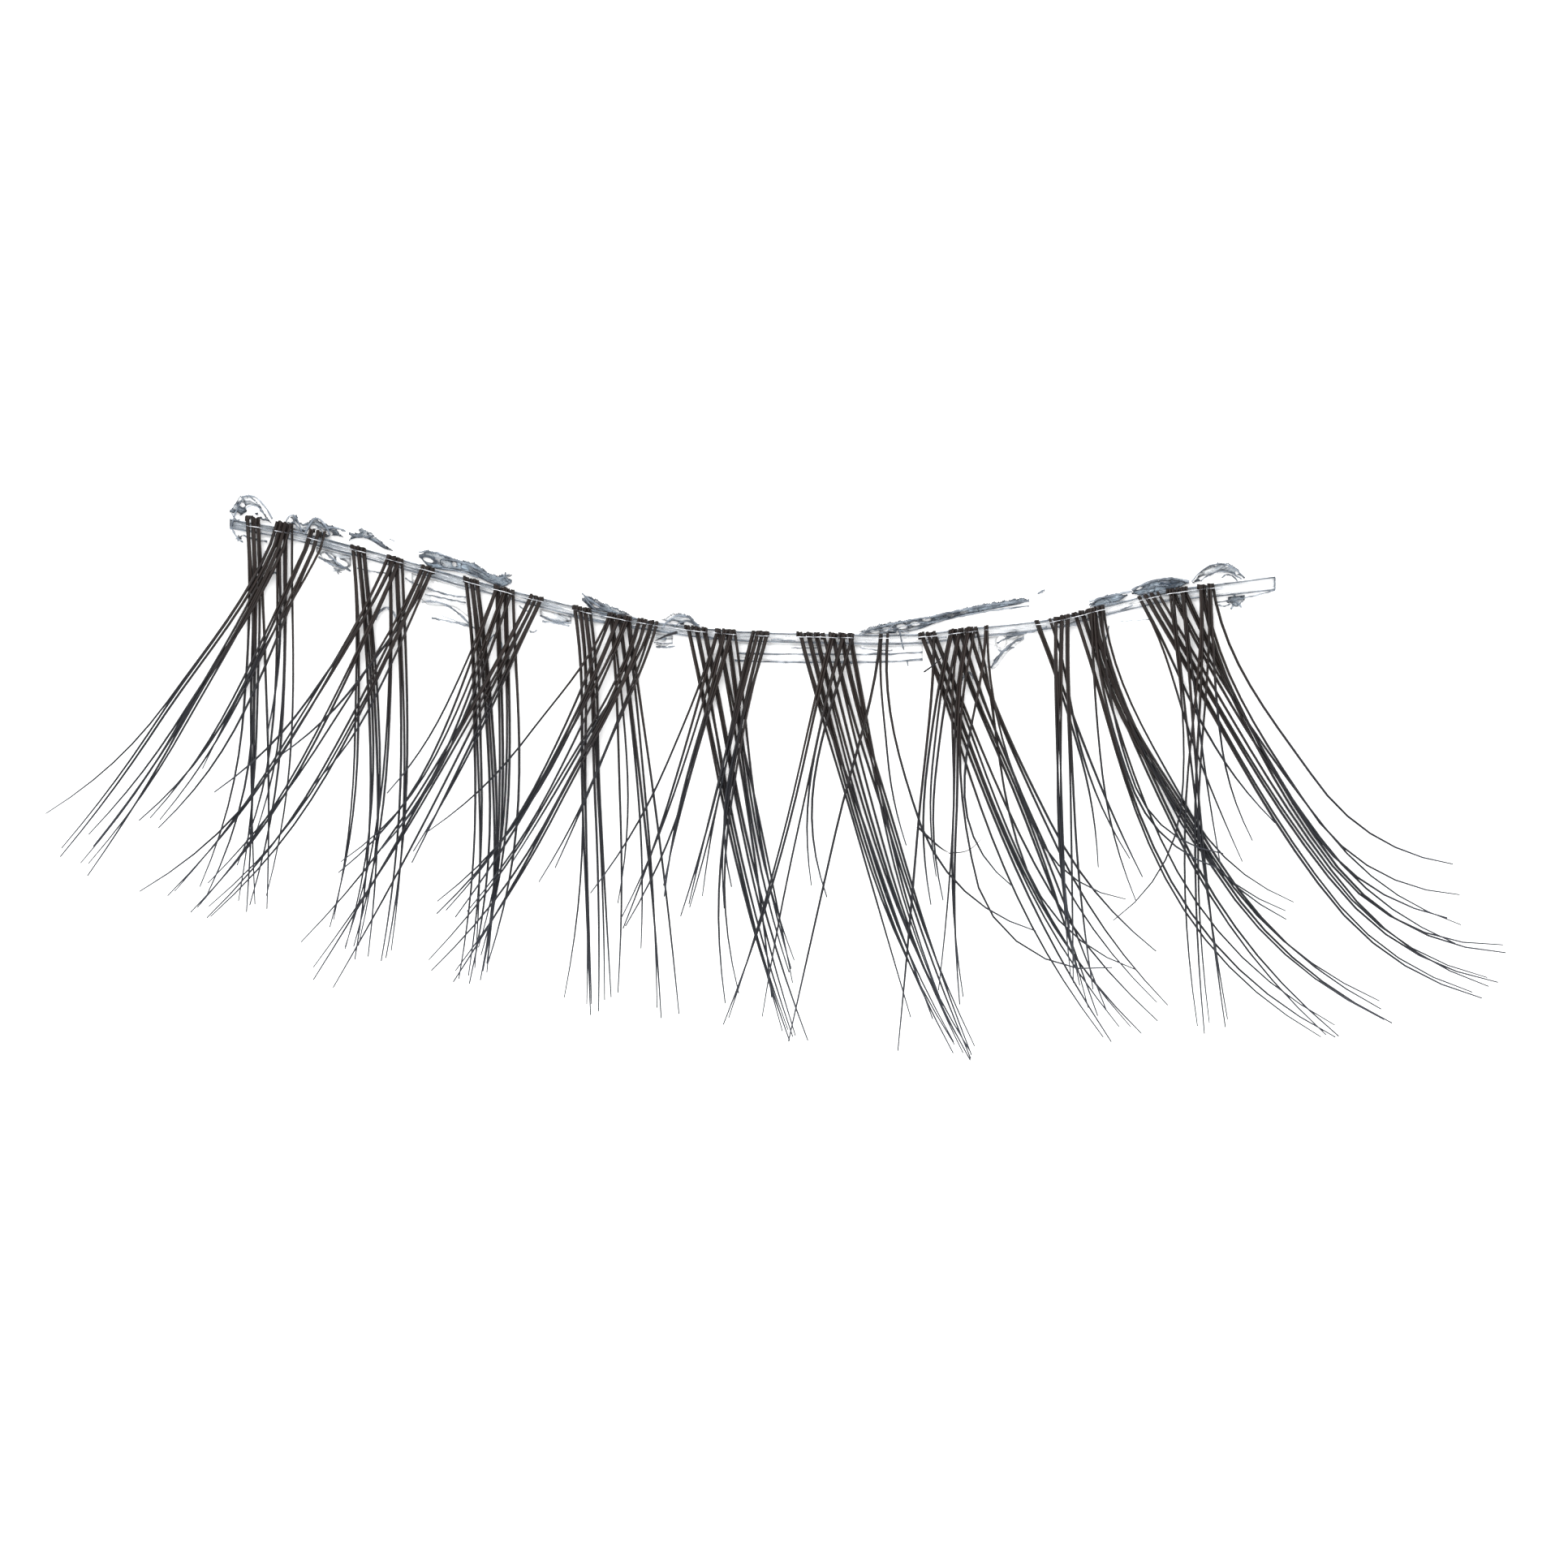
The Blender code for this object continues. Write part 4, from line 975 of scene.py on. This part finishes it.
def add_film(number, film, material):
    """A film with a torn front edge, seated in front of the band. The clear ones are less torn."""
    cloud = FILM_CLOUD[number - 1]
    steps = np.linspace(film.first, film.last, len(film.deep))
    along = np.linspace(film.first, film.last, PLATE_STATIONS * len(film.deep))
    deep = smoothed(along, steps, film.deep) + torn(along, number, FILM_TEARS) * cloud
    edge = front_edge(along) - EDGE_GAP
    low = edge - np.maximum(deep, LEAST_FILM) * FILM_DEPTH
    bottom = np.full(len(along), SEAT_GAP)
    name = f"adhesive_film_{number}"
    add_adhesive(name, material, along, low, edge, bottom, FILM_THICKNESS, cloud)


def add_strands(material):
    """Fine strands of adhesive, each bowed between its ends and a little uneven."""
    t = np.linspace(0.0, 1.0, STRAND_STATIONS)
    on_film = SEAT_GAP + FILM_THICKNESS
    on_flakes = 2 * FLAKE_THICKNESS
    paths = []
    radii = []
    for number, strand in enumerate(starmap(Strand, STRANDS)):
        along = strand.first + (strand.last - strand.first) * t
        straight = strand.first_drop + (strand.last_drop - strand.first_drop) * t
        uneven = STRAND_WANDER * ripple(t * (strand.last - strand.first) * 90, number * 0.7)
        drop = (straight + strand.bulge * 4 * t * (1 - t)) / 100 + uneven
        y = back_edge(along) - drop * FILM_DEPTH
        z = STRAND_WIDTH / 2 + on_flakes + (on_film - on_flakes) * smoothstep(*STRAND_STEP, drop)
        paths.append(np.column_stack([along * BAND_LENGTH, y, z]))
        radii.append(strand.width * STRAND_WIDTH / 2 * (1 + 0.45 * ripple(t * 3, number * 0.9)))
    add_tubes("adhesive_strands", paths, radii, STRAND_SIDES, material, "dried adhesive")


def add_chips(material):
    """Loose chips: flattened blobs whose rims run in and out by an uneven wave."""
    turn = 2 * np.pi * np.arange(CHIP_SIDES) / CHIP_SIDES
    rise = np.pi * (np.arange(CHIP_RINGS) + 0.5) / CHIP_RINGS
    pointed = np.abs(np.cos(CHIP_POINTS * turn / 2)) ** 3
    shapes = []
    for number, chip in enumerate(starmap(Chip, CHIPS)):
        uneven = 0.15 * ripple(turn / (2 * np.pi) * 3, number * 0.53)
        radius = 1 - chip.spikes * (1 - pointed) + uneven
        drop, long, wide = FILM_DEPTH * np.array([chip.drop, chip.long, chip.wide]) / 100
        flat = np.stack([np.cos(turn) * long, np.sin(turn) * wide]) * radius
        angle = np.radians(chip.turn)
        middle = np.array([chip.along * BAND_LENGTH, back_edge(chip.along) - drop])
        x = middle[0] + flat[0] * np.cos(angle) - flat[1] * np.sin(angle)
        y = middle[1] + flat[0] * np.sin(angle) + flat[1] * np.cos(angle)
        plan = middle + (np.stack([x, y], axis=-1) - middle) * np.sin(rise)[:, None, None]
        z = np.broadcast_to((CHIP_THICKNESS * (1.05 - np.cos(rise)) / 2)[:, None], plan.shape[:2])
        shapes.append(np.concatenate([plan, z[..., None]], axis=-1))
    points = np.array(shapes)
    # The chips' outer rings get the painted refraction shade of a rim
    rim = np.broadcast_to(np.sin(rise)[:, None] > 0.9, points.shape[:-1]).astype(float)
    make_piece(
        "adhesive_chips",
        points,
        tube_faces(*points.shape[:3]),
        material,
        "dried adhesive",
        rim=rim * CHIP_LOOK,
        cloud=CHIP_LOOK,
        kept=1.0,
        along=points[..., 0],
        behind=points[..., 1],
    )


# Materials

class Value:
    """A socket of a material's nodes, with Python's arithmetic on it."""

    def __init__(self, paint, socket):
        self.paint = paint
        self.socket = socket

    def maths(self, operation, *others):
        return self.paint.out("Math", {"operation": operation}, dict(enumerate(others)))

    def __add__(self, other):
        return self.maths("ADD", self, other)

    def __sub__(self, other):
        return self.maths("SUBTRACT", self, other)

    def __rsub__(self, other):
        return self.maths("SUBTRACT", other, self)

    def __mul__(self, other):
        return self.maths("MULTIPLY", self, other)

    def __abs__(self):
        return self.maths("ABSOLUTE", self)

    def step(self, low, high):
        """0 below low and 1 above high, smooth between."""
        settings = {"interpolation_type": "SMOOTHSTEP", "clamp": True}
        inputs = {"Value": self, "From Min": low, "From Max": high}
        return self.paint.out("MapRange", settings, inputs)

    __radd__ = __add__


class Paint:
    """A Principled material whose sockets take numbers, colours or its own nodes' Values."""

    def __init__(self, name, **fixed):
        self.material = bpy.data.materials.new(name)
        self.material.use_nodes = True
        self.tree = self.material.node_tree
        self.shader = self.tree.nodes["Principled BSDF"]
        self.set(**fixed)

    def node(self, kind, settings, inputs):
        """A node of this kind, with its settings first and then its sockets."""
        made = self.tree.nodes.new("ShaderNode" + kind)
        for key, value in settings.items():
            setattr(made, key, value)
        for key, value in inputs.items():
            self.join(made.inputs[key], value)
        return made

    def out(self, kind, settings, inputs, output=0):
        return Value(self, self.node(kind, settings, inputs).outputs[output])

    def join(self, socket, value):
        if isinstance(value, Value):
            self.tree.links.new(value.socket, socket)
        elif isinstance(value, tuple) and len(value) == 3 and socket.type == "RGBA":
            socket.default_value = (*value, 1.0)
        else:
            socket.default_value = value

    def set(self, **sockets):
        """Sets the shader's sockets, named with _ for a space."""
        for key, value in sockets.items():
            name = key.replace("_", " ").title().replace("Ior", "IOR")
            self.join(self.shader.inputs[name], value)

    def attribute(self, name):
        return self.out("Attribute", {"attribute_name": name}, {}, "Fac")

    def object_place(self):
        return self.out("TexCoord", {}, {}, "Object")

    def band_place(self):
        """Along the band and behind its back edge, so that a pattern follows the band's curve."""
        inputs = {"X": self.attribute("along"), "Y": self.attribute("behind"), "Z": 0.0}
        return self.out("CombineXYZ", {}, inputs)

    def noise(self, place, scale, detail=3.0, roughness=0.55, stretch=(1.0, 1.0, 1.0)):
        place = self.out("Mapping", {}, {"Vector": place, "Scale": stretch})
        inputs = {"Vector": place, "Scale": scale, "Detail": detail, "Roughness": roughness}
        return self.out("TexNoise", {}, inputs)

    def veins(self, place, scale, width, stretch):
        """Thin crooked lines, where a noise passes its middle value."""
        return 1 - abs(self.noise(place, scale, 2.0, 0.5, stretch) - 0.5).step(0.0, width)

    def cells(self, place, scale):
        return self.out("TexVoronoi", {}, {"Vector": place, "Scale": scale}, "Distance")

    def mix(self, share, first, second):
        """A colour between two, by share."""
        made = self.node("Mix", {"data_type": "RGBA", "clamp_factor": True}, {})
        for key, kind, value in (
            ("Factor", "VALUE", share), ("A", "RGBA", first), ("B", "RGBA", second)
        ):
            self.join(next(s for s in made.inputs if (s.name, s.type) == (key, kind)), value)
        return Value(self, next(s for s in made.outputs if s.type == "RGBA"))

    def bump(self, height, strength, distance):
        inputs = {"Height": height, "Strength": strength, "Distance": distance}
        return self.out("Bump", {}, inputs)


def lash_material():
    """Brown-black fibre, each its own shade: browner where thick, purple-grey towards its tip, with
    painted sheen in lighter brown streaks.
    """
    paint = Paint("dark lash fibre", specular_ior_level=0.18)
    tone = paint.attribute("tone")
    reach = paint.attribute("reach")
    place = paint.object_place()
    body = paint.mix(tone, LASH_DARK, LASH_WARM)
    # Painted sheen: lighter brown streaks along the fibres, which are also rougher and bumped
    streak = paint.noise(place, 9000.0, stretch=(1.0, 0.15, 1.0)).step(0.35, 0.75)
    body = paint.mix(streak * 0.5, body, LASH_SHEEN)
    cool = paint.mix(reach.step(0.15, 0.6), body, LASH_COOL)
    paint.set(base_color=paint.mix(reach.step(0.75, 1.0) * 0.7, cool, LASH_TIP))
    paint.set(roughness=0.38 + streak * 0.20)
    paint.set(normal=paint.bump(streak, 0.3, 0.00001))
    return paint.material


def film_material():
    """Clear film: glare on its flat, grey edges painted as the shade of refraction, and cloudy
    streaks along it where it is worn.
    """
    paint = Paint("clear film", roughness=0.16, ior=1.49)
    rim = paint.attribute("rim")
    cloud = paint.attribute("cloud")
    place = paint.band_place()
    streak = paint.noise(place, 900.0, stretch=(0.5, 5.0, 1.0)).step(0.47, 0.58)
    line = paint.veins(place, 2000.0, 0.035, (0.2, 6.0, 1.0))
    grey = streak * cloud
    # The rim is painted refraction shade: grey and more opaque along every edge of the film
    paint.set(base_color=paint.mix(grey * 0.4 + rim + line * 0.7, FILM_PALE, FILM_GREY_AND_EDGE_SHADE))
    paint.set(alpha=(rim * 0.60 + grey * 0.50 + line * (cloud * 0.70 + 0.08) + BARELY_SEEN))
    paint.set(normal=paint.bump(streak + line * 0.4, 0.5, 0.00002))
    return paint.material


def adhesive_material():
    """Dried adhesive: glassy grey-blue, crumpled, with dark veins, dark rims painted as the shade
    of refraction, and torn holes.
    """
    paint = Paint("dried adhesive", roughness=0.18, ior=1.47)
    rim = paint.attribute("rim")
    cloud = paint.attribute("cloud")
    place = paint.band_place()
    patch = paint.noise(place, 2000.0, 2.5, stretch=CRUMPLE).step(0.47, 0.54)
    vein = paint.veins(place, 1500.0, 0.022, CRUMPLE)
    crease = paint.veins(place, 3600.0, 0.035, CRUMPLE)
    pits = paint.cells(place, 3400.0)
    thin = 1 - cloud.step(0.7, 1.1)
    kept = (1 - (1 - pits.step(0.17, 0.21)) * thin) * paint.attribute("kept").step(0.40, 0.60)
    dark = paint.noise(place, 1900.0, 2.0, stretch=CRUMPLE).step(0.47, 0.60)
    colour = paint.mix(dark, ADHESIVE_PALE, ADHESIVE_GREY)
    lines = vein * 0.9 + crease * 0.5
    # The rim is painted refraction shade: darker and more opaque along the edges and holes; the
    # veins and creases are the adhesive's own
    paint.set(base_color=paint.mix(rim * 0.9 + lines * 0.8, colour, ADHESIVE_LINE_AND_EDGE_SHADE))
    edges = rim * (cloud * 0.85 + 0.15)
    clouded = (patch * 0.55 + lines * 0.70) * cloud
    solid = cloud.step(0.80, 1.40) * 0.65
    paint.set(alpha=(edges + clouded + solid + BARELY_SEEN) * kept)
    paint.set(normal=paint.bump(patch + lines * 0.5 + dark * 0.5, 0.9, 0.00004))
    return paint.material


def strand_material():
    """Grey clear strand, lighter and darker by turns."""
    paint = Paint("adhesive strand", roughness=0.2)
    shade = paint.noise(paint.object_place(), 2500.0).step(0.35, 0.65)
    paint.set(base_color=paint.mix(shade, STRAND_GREY, STRAND_PALE), alpha=0.90 - shade * 0.40)
    return paint.material


def thread_material():
    """Shiny thread: grey, with pale painted glints that are also more opaque."""
    paint = Paint("pale thread", roughness=0.25)
    # Painted glints: pale, more opaque patches along the thread
    gleam = paint.noise(paint.object_place(), 3000.0).step(0.40, 0.60)
    paint.set(base_color=paint.mix(gleam, THREAD_GREY, THREAD_GLINT), alpha=0.08 + gleam * 0.75)
    return paint.material


# Camera, floor and light

def add_camera():
    """Straight above the strip, with the photograph's frame on the ground."""
    data = bpy.data.cameras.new("camera")
    data.type = "PERSP"
    data.sensor_width = SENSOR_WIDTH
    data.lens = SENSOR_WIDTH * CAMERA_HEIGHT / FRAME_WIDTH
    data.clip_start = 0.01
    data.clip_end = 10.0
    camera = add_object("camera", data)
    camera.location = (PLACE[0] + FRAME_MIDDLE[0], PLACE[1] + FRAME_MIDDLE[1], CAMERA_HEIGHT)
    bpy.context.scene.camera = camera


def add_light():
    """One soft light from above on the left, aimed at the strip."""
    data = bpy.data.lights.new("soft light", "AREA")
    data.shape = "SQUARE"
    data.size = LIGHT_SIZE
    data.energy = LIGHT_POWER
    light = add_object("soft light", data)
    light.location = LIGHT_PLACE
    direction = -np.array(LIGHT_PLACE)
    light.rotation_euler = Vector(direction).to_track_quat("-Z", "Y").to_euler()


def add_studio():
    """A plain white floor and an even pale surround."""
    mesh = bpy.data.meshes.new("floor")
    square = ((-1, -1), (1, -1), (1, 1), (-1, 1))
    corners = [(x * FLOOR_HALF, y * FLOOR_HALF, FLOOR_LEVEL) for x, y in square]
    mesh.from_pydata(corners, [], [(0, 1, 2, 3)])
    floor = add_object("floor", mesh)
    paint = Paint("white ground", base_color=WHITE, roughness=0.9, specular_ior_level=0.1)
    mesh.materials.append(paint.material)
    world = bpy.data.worlds.new("surround")
    world.use_nodes = True
    surround = world.node_tree.nodes["Background"].inputs
    surround["Color"].default_value = (1.0, 1.0, 1.0, 1.0)
    surround["Strength"].default_value = SURROUND_STRENGTH
    bpy.context.scene.world = world
    bpy.context.scene.view_settings.view_transform = "Standard"


def build():
    add_camera()
    add_studio()
    add_light()
    lash = lash_material()
    clear = film_material()
    dried = adhesive_material()
    add_band(clear)
    for number, flake in enumerate(starmap(Flake, FLAKES), 1):
        add_flake(number, flake, dried)
    for number, film in enumerate(starmap(Film, FILMS), 1):
        add_film(number, film, dried)
    add_strands(strand_material())
    add_chips(dried)
    thread = thread_material()
    for number, (setback, climbs) in enumerate(THREADS, 1):
        add_thread(number, setback, climbs, thread)
    for cluster in TUFTS:
        add_cluster(cluster, lash)
    add_strays(lash)


build()
